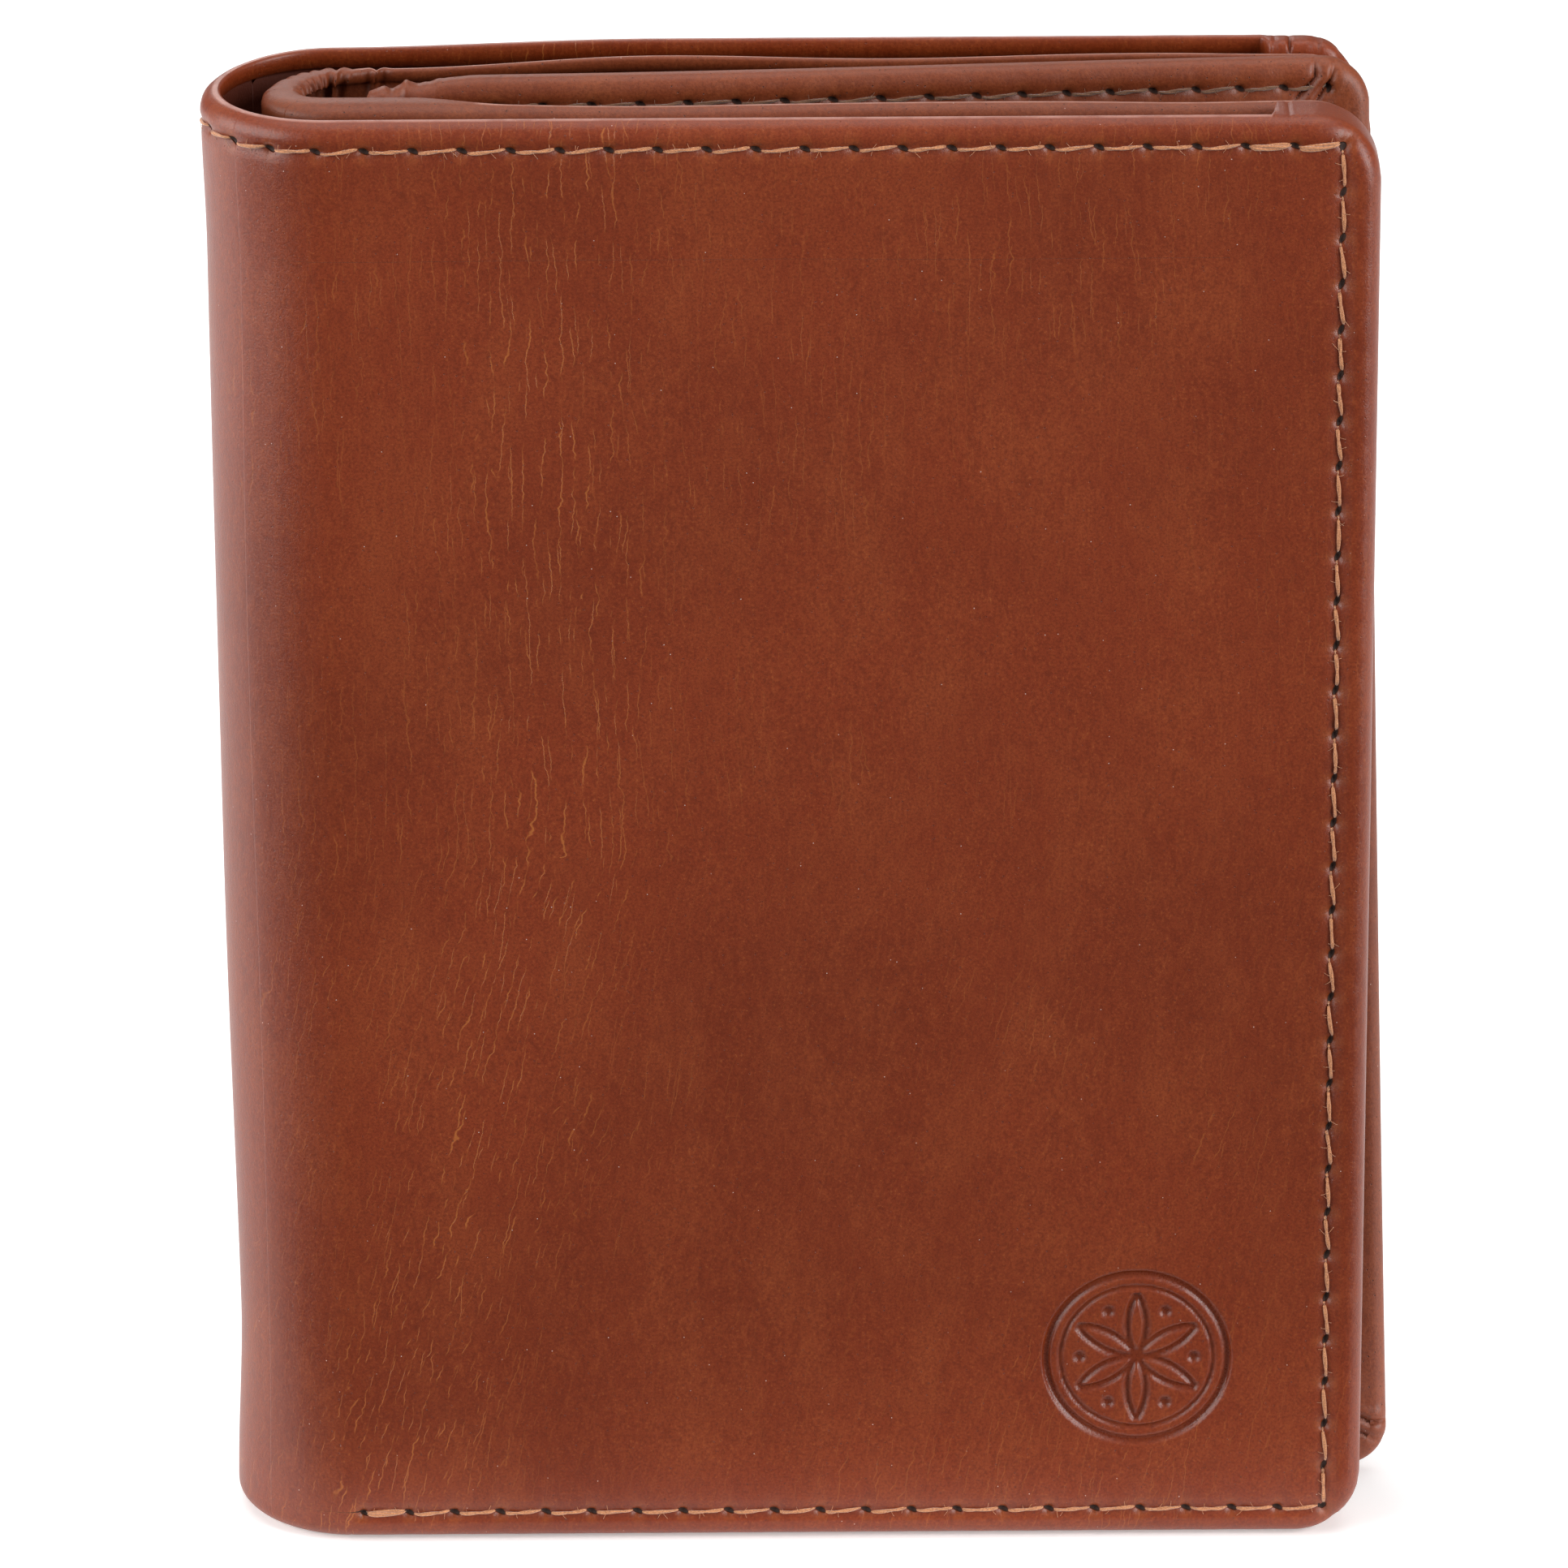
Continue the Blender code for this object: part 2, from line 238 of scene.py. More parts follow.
class Seam:
    """Stitching along straight runs in the sheet's own (u, z), with a hole at each corner."""

    def __init__(self, corners, pitch=PITCH):
        self.corners = [np.array(c, float) for c in corners]
        self.runs = []
        count = 0
        for a, b in zip(self.corners, self.corners[1:]):
            length = float(np.linalg.norm(b - a))
            stitches = max(1, round(length / pitch))
            self.runs.append((a, b, length, stitches, count))
            count += stitches
        self.count = count

    def measure(self, u, z):
        """Stitches along the nearest run, and the distance from it, for every point."""
        along = np.zeros_like(u + z)
        away = np.full_like(along, FAR)
        for a, b, length, stitches, before in self.runs:
            direction = (b - a) / length
            s = np.clip((u - a[0]) * direction[0] + (z - a[1]) * direction[1], 0, length)
            across = (u - a[0]) * -direction[1] + (z - a[1]) * direction[0]
            gap = np.hypot(u - a[0] - s * direction[0], z - a[1] - s * direction[1])
            nearer = gap < np.abs(away)
            along = np.where(nearer, before + s / length * stitches, along)
            away = np.where(nearer, np.where(across < 0, -gap, gap), away)
        return along, away

    def holes(self):
        found = []
        for a, b, _, stitches, _ in self.runs:
            found += [a + (b - a) * i / stitches for i in range(stitches)]
        return found + [self.corners[-1]]

    def sink(self, u, z):
        """Groove along the seam, deeper at each hole, with the leather puckered between."""
        along, away = self.measure(u, z)
        phase = np.abs(along - np.round(along))
        groove = GROOVE * np.exp(-((away / GROOVE_WIDTH) ** 2))
        hole = 0.42 * MM * np.exp(-((away / (0.3 * MM)) ** 2) - (phase / 0.11) ** 2)
        pucker = 0.05 * MM * np.cos(2 * pi * along) * np.exp(-((away / (1.5 * MM)) ** 2))
        return groove + hole + pucker


def seams_measure(seams, u, z):
    along = np.zeros_like(u + z)
    away = np.full_like(along, FAR)
    for seam in seams:
        s, d = seam.measure(u, z)
        nearer = np.abs(d) < np.abs(away)
        along, away = np.where(nearer, s, along), np.where(nearer, d, away)
    return along, away


# ---------------------------------------------------------------- meshes


def linked(name, data):
    """A new object in the scene."""
    item = bpy.data.objects.new(name, data)
    bpy.context.scene.collection.objects.link(item)
    return item


def mesh_object(name, points, quads, finish, attributes=None, rounded=None):
    mesh = bpy.data.meshes.new(name)
    mesh.vertices.add(len(points))
    mesh.vertices.foreach_set("co", np.asarray(points, np.float32).ravel())
    mesh.loops.add(4 * len(quads))
    mesh.loops.foreach_set("vertex_index", np.asarray(quads, np.int32).ravel())
    mesh.polygons.add(len(quads))
    mesh.polygons.foreach_set("loop_start", np.arange(0, 4 * len(quads), 4, dtype=np.int32))
    rounded = np.full(len(quads), True) if rounded is None else rounded
    mesh.polygons.foreach_set("use_smooth", rounded)
    mesh.update(calc_edges=True)
    rest = np.asarray(points, float) / MM
    for key, values in {"rest": rest, **(attributes or {})}.items():
        layer = mesh.attributes.new(key, "FLOAT_VECTOR", "POINT")
        layer.data.foreach_set("vector", np.asarray(values, np.float32).ravel())
    mesh.materials.append(finish)
    return linked(name, mesh)


def facing_out(points, quads):
    """Turns every face over if the closed mesh is inside out."""
    a, b, c, d = (points[quads[:, i]] for i in range(4))
    volume = np.sum(np.cross(a, b) * c) + np.sum(np.cross(a, c) * d)
    return quads if volume > 0 else quads[:, ::-1]


def edge_profile(inset, round_out, round_down, depth, inner_round, lip, inner, sweep=pi / 2):
    """(outwards, down) from the flat of the face round the edge to the inner side.

    sweep under a quarter turn ends the roll in a ridge, as on a thinly turned hem.
    """
    points = []
    for i in range(1, 8):
        turn = sweep * i / 7
        out = inset - round_out + round_out * sin(turn) / sin(sweep)
        points.append((out, round_down * (1 - cos(turn)) / (1 - cos(sweep))))
    for i in range(5):
        turn = pi / 2 * i / 4
        across = inset - inner_round * (1 - cos(turn))
        points.append((across, depth - inner_round * (1 - sin(turn))))
    points.append((inset - lip, depth))
    points.append((inset - lip, (depth + 2 * inner) / 3))
    points.append((inset - lip, inner))
    return np.array(points)


PROFILE = 15
INSIDE = 13  # profile points from here on are on the inner side


def sheet(name, path, us, trim, rows, profile, thickness, finish, sink=None, sway=None,
          cuts=(False, False), seams=(), hole=None, lift=None, press=None):
    """A closed leather sheet.

    us are the columns and trim(u) their lowest and highest z. rows run from 0 to 1 between them.
    profile(u, z, du, dz) gives each edge point its own rolled edge. cuts says which ends are cut
    square. hole is (first column, last column, first row, last row) of an opening.
    sink presses the face in, sway moves the whole sheet, lift moves it up. press is stored for the
    finish, which darkens a stamped mark.
    """
    bottom, top = trim(us)
    u = np.repeat(us[:, None], len(rows), 1)
    z = bottom[:, None] + (top - bottom)[:, None] * rows[None, :]
    n, m = u.shape
    index = np.arange(n * m).reshape(n, m)
    loops = [loop_round(index, 0, n - 1, 0, m - 1, 1)]
    kept = np.ones((n - 1, m - 1), bool)
    if hole:
        kept[hole[0]:hole[1], hole[2]:hole[3]] = False
        loops.append(loop_round(index, *hole, -1))
    flat_u, flat_z = u.ravel(), z.ravel()
    face_sink = sink(flat_u, flat_z) if sink else np.zeros(n * m)

    all_u, all_z = [flat_u], [flat_z]
    depth, edge = [face_sink], [np.zeros(n * m)]
    quads = []
    i, j = np.nonzero(kept)
    face = np.stack([index[i, j], index[i + 1, j], index[i + 1, j + 1], index[i, j + 1]], 1)
    quads.append(face)
    rounded = [np.full(len(face), True)]
    cut_columns = [c for c, is_cut in zip((0, n - 1), cuts) if is_cut]
    total = n * m
    inner_start = total + sum(len(loop) for loop in loops) * PROFILE
    for order, loop in enumerate(loops):
        du, dz, profiles = [], [], []
        count = len(loop)
        for k in range(count):
            here, before, after = loop[k], loop[k - 1], loop[(k + 1) % count]
            tangent_u = flat_u[after] - flat_u[before]
            tangent_z = flat_z[after] - flat_z[before]
            size = sqrt(tangent_u**2 + tangent_z**2)
            out = (tangent_z / size, -tangent_u / size)
            column, row = divmod(int(here), m)
            at_cut = (column == 0 and cuts[0]) or (column == n - 1 and cuts[1])
            if order == 0 and at_cut:
                out = (0.0, -1.0 if row == 0 else 1.0)
            shape = profile(flat_u[here], flat_z[here], out[0], out[1], order)
            if order == 0 and at_cut and 0 < row < m - 1:
                shape = np.column_stack([np.zeros(PROFILE), np.linspace(0, thickness, PROFILE)])
            du.append(out[0])
            dz.append(out[1])
            profiles.append(shape)
        shapes = np.array(profiles)
        du, dz = np.array(du)[:, None], np.array(dz)[:, None]
        fade = np.linspace(1, 0, PROFILE)[None, :] ** 2
        all_u.append((flat_u[loop][:, None] + du * shapes[:, :, 0]).ravel())
        all_z.append((flat_z[loop][:, None] + dz * shapes[:, :, 0]).ravel())
        depth.append((shapes[:, :, 1] + face_sink[loop][:, None] * fade).ravel())
        rim = np.clip(shapes[:, :, 0] / INSET, 0, 1)
        # Ridge points of thin edges get values above 1, which the finish paints as a highlight line
        rim[:, 6:8] += np.clip((2.2 * MM - shapes[:, 11:12, 1]) / (0.5 * MM), 0, 1)
        rim[:, INSIDE:] = -1
        edge.append(rim.ravel())
        ring = total + np.arange(count * PROFILE).reshape(count, PROFILE)
        lanes = [loop] + [ring[:, p] for p in range(PROFILE)] + [loop + inner_start]
        on_cut = np.isin(loop // m, cut_columns) if order == 0 else np.full(count, False)
        for a, b in zip(lanes, lanes[1:]):
            quads.append(np.stack([np.roll(a, -1), a, b, np.roll(b, -1)], 1))
            rounded.append(~(on_cut & np.roll(on_cut, -1)))
        total += count * PROFILE
    all_u.append(flat_u)
    all_z.append(flat_z)
    depth.append(np.full(n * m, thickness))
    edge.append(np.full(n * m, -1.0))
    quads.append(face[:, ::-1] + inner_start)
    rounded.append(np.full(len(face), True))

    all_u, all_z = np.concatenate(all_u), np.concatenate(all_z)
    depth, edge = np.concatenate(depth), np.concatenate(edge)
    if sway:
        depth = depth + sway(all_u, all_z)
    x, y, inward_x, inward_y = path.at(all_u)
    lifted = all_z + (lift(all_u, all_z) if lift else 0)
    points = np.stack([x + inward_x * depth, y + inward_y * depth, lifted], 1)
    along, away = seams_measure(seams, all_u, all_z)
    away = np.where(edge < 0, FAR, away)
    seam = np.stack([along, away / MM, edge], 1)
    quads = facing_out(points, np.concatenate(quads))
    attributes = {"seam": seam}
    if press:
        attributes["press"] = np.repeat(press(all_u, all_z)[:, None], 3, 1)
    return mesh_object(name, points, quads, finish, attributes, np.concatenate(rounded))


def loop_round(index, i0, i1, j0, j1, turn):
    """The grid points round a rectangle of columns and rows, in order."""
    loop = np.concatenate([
        index[i0:i1, j0], index[i1, j0:j1], index[i1:i0:-1, j1], index[i0, j1:j0:-1]
    ])
    return loop if turn > 0 else loop[::-1]


def tube(path, radii, sides=6):
    """Points and quads of a closed tube along path, with a quad-ish cap collapsed to its ends."""
    path = np.asarray(path, float)
    tangents = np.gradient(path, axis=0)
    tangents /= np.linalg.norm(tangents, axis=1)[:, None]
    helper = np.where(np.abs(tangents[:, 2:3]) > 0.8, [[0.0, 1.0, 0.0]], [[0.0, 0.0, 1.0]])
    side = np.cross(tangents, helper)
    side /= np.linalg.norm(side, axis=1)[:, None]
    up = np.cross(side, tangents)
    turn = 2 * pi * np.arange(sides) / sides
    ring = np.cos(turn)[None, :, None] * side[:, None] + np.sin(turn)[None, :, None] * up[:, None]
    points = (path[:, None] + ring * np.asarray(radii)[:, None, None]).reshape(-1, 3)
    quads = []
    count = len(path)
    for i in range(count - 1):
        for j in range(sides):
            k = (j + 1) % sides
            quads.append((i * sides + j, i * sides + k, (i + 1) * sides + k, (i + 1) * sides + j))
    for end in (0, count - 1):
        base = end * sides
        flip = end == 0
        for j in range(0, sides - 2, 2):
            quad = (base, base + j + 1, base + j + 2, base + (j + 3) % sides)
            if (j + 3) % sides == 0:
                continue
            quads.append(quad[::-1] if flip else quad)
    return points, np.array(quads)


def stitches(name, path, seam, finish, span, proud, seed, thick=(), tilt=0.1, side=1, sway=None):
    """Two-ply stitches between the holes of a seam, for the part of it inside span of u.

    They lie on the face at the depth that sway gives, or on the inner side where side is -1.
    """

    def placed(u, z, rise):
        drop = -side * rise + (sway(u, z) if sway else 0)
        x, y, nx, ny = path.at(u)
        return np.stack([x + nx * drop, y + ny * drop, z], 1)

    def add(where, rise, radii, sides):
        made, faces = tube(placed(where[:, 0], where[:, 1], rise), radii, sides)
        quads.append(faces + sum(len(earlier) for earlier in points))
        points.append(made)

    random = np.random.default_rng(seed)
    points, quads = [], []
    holes = seam.holes()
    for number, (a, b) in enumerate(zip(holes, holes[1:])):
        middle = (a + b) / 2
        jitter = random.normal(0, 1, 8)
        if not span[0] <= middle[0] < span[1]:
            continue
        direction = (b - a) / np.linalg.norm(b - a)
        across = np.array([-direction[1], direction[0]])
        length = np.linalg.norm(b - a) - 0.62 * MM
        heavy = number in thick
        plies = 4 if heavy else 2
        ply = (0.13 if heavy else 0.110) * MM
        reach = (0.19 if heavy else 0.065) * MM
        turns = 0.35 + 0.05 * jitter[0] if heavy else 0.8 + 0.15 * jitter[0]
        s = np.linspace(-0.5, 0.5, 15)
        bow = 1 - (2 * np.abs(s)) ** 5
        slope = (tilt + 0.03 * jitter[1]) * length
        line = middle[None] + direction[None] * (s * length)[:, None]
        line = line + across[None] * (s * slope + 0.04 * MM * jitter[2] * np.cos(pi * s))[:, None]
        height = proud * bow - 0.45 * MM * (1 - bow)
        for p in range(plies):
            turn = 2 * pi * (turns * s + p / plies) + jitter[3]
            taper = 0.55 + 0.45 * np.cos(pi * s) ** 0.6
            off = reach * taper
            where = line + across[None] * (off * np.cos(turn))[:, None]
            add(where, height + off * 0.8 * np.sin(turn), ply * (0.7 + 0.3 * taper), 6)
        for fibre in range(2):
            root = random.uniform(-0.4, 0.4)
            lean = random.normal(0, 1, 3)
            start = middle + direction * root * length + across * slope * root
            reach_out = (0.35 + 0.35 * random.random()) * MM
            t = np.linspace(0, 1, 4)
            away = direction * lean[0] * 0.6 + across * np.sign(lean[1])
            where = start[None] + away[None] * (t * reach_out)[:, None]
            add(where, proud + 0.12 * MM * np.sin(pi * t), np.full(4, 0.018 * MM), 4)
    if not points:
        return None
    points, quads = np.concatenate(points), np.concatenate(quads)
    return mesh_object(name, points, quads, finish)


# ---------------------------------------------------------------- materials

# Millimetres: half a sewing hole's length and width, and the weave of the lining
HOLE_LONG, HOLE_WIDE = 0.45, 0.23
WEAVE = 0.42


class Nodes:
    """Short names for the shader nodes that the finishes are made of."""

    def __init__(self, name):
        self.material = bpy.data.materials.new(name)
        self.material.use_nodes = True
        self.tree = self.material.node_tree
        self.shader = self.tree.nodes["Principled BSDF"]

    def add(self, kind, inputs=(), **settings):
        node = self.tree.nodes.new(kind)
        for key, value in settings.items():
            setattr(node, key, value)
        for key, value in dict(inputs).items():
            self.plug(node.inputs[key], value)
        return node

    def plug(self, socket, value):
        if isinstance(value, bpy.types.NodeSocket):
            self.tree.links.new(value, socket)
        else:
            socket.default_value = value

    def attribute(self, name):
        return self.add("ShaderNodeAttribute", attribute_name=name).outputs["Vector"]

    def math(self, operation, a, b=0.0):
        return self.add("ShaderNodeMath", {0: a, 1: b}, operation=operation).outputs[0]

    def plus(self, a, b):
        return self.math("ADD", a, b)

    def minus(self, a, b):
        return self.math("SUBTRACT", a, b)

    def times(self, a, b):
        return self.math("MULTIPLY", a, b)

    def absolute(self, a):
        return self.math("ABSOLUTE", a)

    def scaled(self, vector, amount):
        node = self.add("ShaderNodeVectorMath", {0: vector, 1: amount}, operation="MULTIPLY")
        return node.outputs[0]

    def added(self, a, b):
        return self.add("ShaderNodeVectorMath", {0: a, 1: b}, operation="ADD").outputs[0]

    def noise(self, vector, scale, detail=3.0, roughness=0.55, colour=False):
        inputs = {"Vector": vector, "Scale": scale, "Detail": detail, "Roughness": roughness}
        node = self.add("ShaderNodeTexNoise", inputs)
        return node.outputs["Color" if colour else "Fac"]

    def range(self, value, low_in, high_in, low_out=0.0, high_out=1.0):
        names = ("Value", "From Min", "From Max", "To Min", "To Max")
        inputs = dict(zip(names, (value, low_in, high_in, low_out, high_out)))
        node = self.add("ShaderNodeMapRange", inputs, interpolation_type="SMOOTHSTEP")
        return node.outputs["Result"]

    def mix(self, factor, a, b):
        node = self.add("ShaderNodeMix", data_type="RGBA")
        for socket, value in zip((node.inputs[0], node.inputs[6], node.inputs[7]), (factor, a, b)):
            self.plug(socket, value if not isinstance(value, tuple) else (*value, 1.0))
        return node.outputs[2]

    def tint(self, colour, where, amount, tint):
        """colour, mixed with that amount of tint where the mask is 1."""
        return self.mix(self.times(where, amount), colour, tint)

    def split(self, vector):
        node = self.add("ShaderNodeSeparateXYZ", {0: vector})
        return node.outputs[0], node.outputs[1], node.outputs[2]

    def set(self, **inputs):
        for key, value in inputs.items():
            self.plug(self.shader.inputs[key.replace("_", " ")], value)

    def relief(self, height, distance, strength=1.0):
        inputs = {"Height": height, "Distance": distance, "Strength": strength}
        bump = self.add("ShaderNodeBump", inputs)
        self.plug(self.shader.inputs["Normal"], bump.outputs[0])


def strands(n, rest, across, step, shift):
    """Fine lines about step millimetres apart, each broken into lengths."""
    place = n.added(rest, (shift, shift, shift))
    slow = n.noise(n.scaled(place, (1.0, 1.0, 0.35)), 0.20, 2.0)
    quick = n.noise(n.scaled(place, (0.5, 0.5, 1.0)), 0.75, 2.0, 0.6)
    lane = n.plus(n.math("DIVIDE", across, step), n.times(slow, 3.4 / step))
    lane = n.plus(lane, n.times(quick, 0.75 / step))
    off = n.absolute(n.minus(n.math("FRACT", lane), 0.5))
    line = n.range(off, 0.01 / step, 0.065 / step, 1.0, 0.0)
    broken = n.range(n.noise(n.scaled(place, (1.0, 1.0, 0.30)), 0.85, 2.0), 0.48, 0.62)
    return n.times(line, broken)


def leather(name, deep, middle, light, vein, veins=1.0, pores=0.5, rough=0.40, band=False, suede=1.0):
    """Full-grain leather: mottled colour, fine upright crackle, pores, specks and a painted highlight
    along the ridges of thin edges.
    """
    n = Nodes(name)
    rest = n.attribute("rest")
    along, away, edge = n.split(n.attribute("seam"))
    x, _, z = n.split(rest)
    drift = n.noise(rest, 0.30, 2.0, colour=True)
    bent = n.added(rest, n.scaled(drift, (2.4, 2.4, 2.4)))
    cloud = n.noise(rest, 0.030, 2.0)
    mottle = n.noise(n.scaled(bent, (1.0, 1.0, 0.5)), 0.16, 5.0, 0.62)
    strokes = n.noise(n.scaled(bent, (1.0, 1.0, 0.36)), 1.7, 4.0, 0.6)
    grain = n.noise(rest, 4.5, 4.0, 0.65)
    fine = n.noise(rest, 11.0, 1.0)

    # Crackle: fine wavering lines that run down the leather in strands, broken into lengths
    aside = x
    where = n.times(n.range(n.noise(rest, 0.05, 2.0), 0.45, 0.70), 0.5)
    if band:
        foot = n.math("MAXIMUM", n.plus(n.times(z, -1.0), 62.0), 0.0)
        aside = n.plus(n.plus(x, n.times(foot, 0.27)), 20.0)
        uneven = n.times(n.minus(n.noise(rest, 0.06), 0.5), 12.0)
        strip = n.range(n.absolute(n.plus(aside, uneven)), 1.0, 13.0, 1.0, 0.12)
        where = n.math("MAXIMUM", where, strip)
    crackle = n.math("MAXIMUM", strands(n, rest, aside, 0.9, 0.0), strands(n, rest, aside, 1.45, 37.0))
    crackle = n.times(n.times(crackle, where), veins)

    cell = n.add("ShaderNodeTexVoronoi", {"Vector": rest, "Scale": 1.9}, feature="F1")
    chance = n.split(cell.outputs["Color"])[0]
    spot = n.range(cell.outputs["Distance"], 0.07, 0.17, 1.0, 0.0)
    pore = n.times(spot, n.math("GREATER_THAN", chance, 0.62))
    spot = n.range(cell.outputs["Distance"], 0.05, 0.11, 1.0, 0.0)
    speck = n.times(spot, n.math("LESS_THAN", chance, 0.045))

    colour = n.mix(n.range(cloud, 0.3, 0.7), deep, middle)
    colour = n.tint(colour, n.range(mottle, 0.42, 0.72), 0.42, light)
    colour = n.tint(colour, n.range(strokes, 0.42, 0.75), 0.34, light)
    dusk = tuple(0.62 * c for c in deep)
    colour = n.tint(colour, n.range(strokes, 0.50, 0.25), 0.30, dusk)
    colour = n.tint(colour, n.range(grain, 0.56, 0.36), 0.48, dusk)
    colour = n.tint(colour, n.range(grain, 0.58, 0.74), 0.30, vein)
    colour = n.mix(crackle, colour, vein)
    colour = n.tint(colour, pore, pores, tuple(0.35 * c for c in deep))
    colour = n.tint(colour, speck, 0.7, tuple(0.5 + 0.5 * c for c in vein))
    colour = n.tint(colour, n.range(edge, 0.25, 1.0), 0.20, light)
    # Painted highlight: a pale, mottled line on the ridges of the thin rolled edges, standing in for
    # their sheen
    ridge_mask = n.range(edge, 1.15, 1.9)
    painted_ridge_highlight = n.times(ridge_mask, n.range(n.noise(rest, 0.5, 3.0), 0.25, 0.65, 0.35, 0.75))
    colour = n.mix(painted_ridge_highlight, colour, tuple(0.16 + 1.25 * c for c in light))
    inside = n.times(n.range(edge, -0.1, -0.8), suede)
    colour = n.tint(colour, inside, 0.85, tuple(0.5 * c for c in deep))

    # The holes of a seam with painted shade inside them, the darkened line along it and the leather
    # pulled light round each hole
    phase = n.minus(n.math("FRACT", n.plus(along, 0.5)), 0.5)
    step = n.times(phase, PITCH / MM)
    leant = n.plus(away, n.times(step, 0.32))
    long, wide = (
        n.math("POWER", n.absolute(n.math("DIVIDE", value, half)), 2.0)
        for value, half in ((step, HOLE_LONG), (leant, HOLE_WIDE))
    )
    hole = n.plus(long, wide)
    dark = n.range(hole, 0.6, 1.3, 1.0, 0.0)
    beside = n.range(n.absolute(away), 0.2, 1.6, 1.0, 0.0)
    pulled = n.times(beside, n.range(n.absolute(step), 0.1, 0.8, 1.0, 0.0))
    colour = n.tint(colour, pulled, 0.14, vein)
    near_seam = n.range(n.absolute(away), 0.10, 0.75, 1.0, 0.0)
    colour = n.tint(colour, near_seam, 0.30, dusk)
    stamped = n.split(n.attribute("press"))[0]
    colour = n.tint(colour, stamped, 0.45, dusk)
    # Painted shade: each sewing hole is painted nearly black, standing in for the shadow inside it
    colour = n.mix(dark, colour, (0.022, 0.006, 0.002))

    shine = n.plus(n.times(mottle, 0.10), n.times(grain, 0.14))
    shine = n.plus(shine, rough - 0.12)
    shine = n.plus(shine, n.times(dark, 0.4))
    shine = n.minus(shine, n.times(stamped, 0.10))
    shine = n.plus(shine, n.times(inside, 0.25))
    n.set(Base_Color=colour, Roughness=shine, Specular_IOR_Level=0.44)

    height = n.plus(n.times(grain, 0.50), n.times(fine, 0.22))
    height = n.plus(height, n.times(strokes, 0.45))
    height = n.minus(height, n.times(crackle, 0.5))
    height = n.minus(height, n.times(pore, 0.7 * pores))
    height = n.minus(height, n.times(dark, 2.5))
    n.relief(height, 0.00005, 1.0)
    return n.material


def cloth(name, dark, light):
    """Thin plain-woven lining."""
    n = Nodes(name)
    rest = n.attribute("rest")
    x, y, z = n.split(rest)
    warp = n.math("SINE", n.times(n.plus(x, y), 2 * pi / WEAVE))
    weft = n.math("SINE", n.times(z, 2 * pi / WEAVE))
    weave = n.times(warp, weft)
    soft = n.noise(rest, 0.6, 3.0)
    blend = n.plus(n.range(weave, -1.0, 1.0, 0.0, 0.6), n.times(soft, 0.4))
    n.set(Base_Color=n.mix(blend, dark, light), Roughness=0.75)
    n.set(Sheen_Weight=0.3, Sheen_Roughness=0.5)
    n.relief(weave, 0.00004, 0.6)
    return n.material


def yarn(name, dark, light):
    """Sewing thread, lighter on its fibres."""
    n = Nodes(name)
    rest = n.attribute("rest")
    strand = n.noise(n.scaled(rest, (3.0, 3.0, 9.0)), 2.0, 3.0)
    n.set(Base_Color=n.mix(n.range(strand, 0.3, 0.7), dark, light), Roughness=0.7)
    n.set(Sheen_Weight=0.4, Sheen_Roughness=0.5)
    n.relief(strand, 0.00005, 0.8)
    return n.material


def clear_film(name):
    n = Nodes(name)
    haze = n.noise(n.attribute("rest"), 0.3, 3.0)
    n.set(Base_Color=(0.9, 0.92, 0.92, 1.0), Roughness=n.range(haze, 0.3, 0.7, 0.08, 0.2))
    n.set(Transmission_Weight=0.9, IOR=1.45)
    return n.material


def floor_finish(name):
    n = Nodes(name)
    tone = n.noise(n.add("ShaderNodeTexCoord").outputs["Object"], 2.0, 2.0)
    n.set(Base_Color=n.mix(tone, (0.90, 0.90, 0.90), (0.93, 0.93, 0.93)), Roughness=0.6)
    n.set(Emission_Color=(1.0, 1.0, 1.0, 1.0), Emission_Strength=0.28)
    return n.material


OUTER = leather(
    "outer_leather", (0.148, 0.0195, 0.0032), (0.188, 0.0265, 0.0055), (0.238, 0.0460, 0.0095),
    (0.400, 0.1250, 0.0260), veins=0.62, pores=0.5, rough=0.38, band=True,
)
INNER = leather(
    "inner_leather", (0.148, 0.0265, 0.0065), (0.190, 0.0370, 0.0100), (0.245, 0.0600, 0.0180),
    (0.300, 0.095, 0.030), veins=0.15, pores=1.0, rough=0.46, suede=0.0,
)
LINING = cloth("lining_fabric", (0.10, 0.030, 0.015), (0.15, 0.055, 0.028))
THREAD = yarn("thread", (0.29, 0.105, 0.038), (0.60, 0.255, 0.105))
FILM = clear_film("window_film")

# ---------------------------------------------------------------- outer cover

OUTER_FOLD = Fold(LEFT, FRONT_Y, BACK_Y)
BACK_END = OUTER_FOLD.flat
FRONT_START = OUTER_FOLD.length - OUTER_FOLD.flat


def outer_trim(u):
    """Lowest and highest z of the face's flat, round the free corners."""
    drop = corner_drop(OUTER_FOLD.reach(u), CORNER, INSET)
    return INSET + drop, HEIGHT - INSET - drop


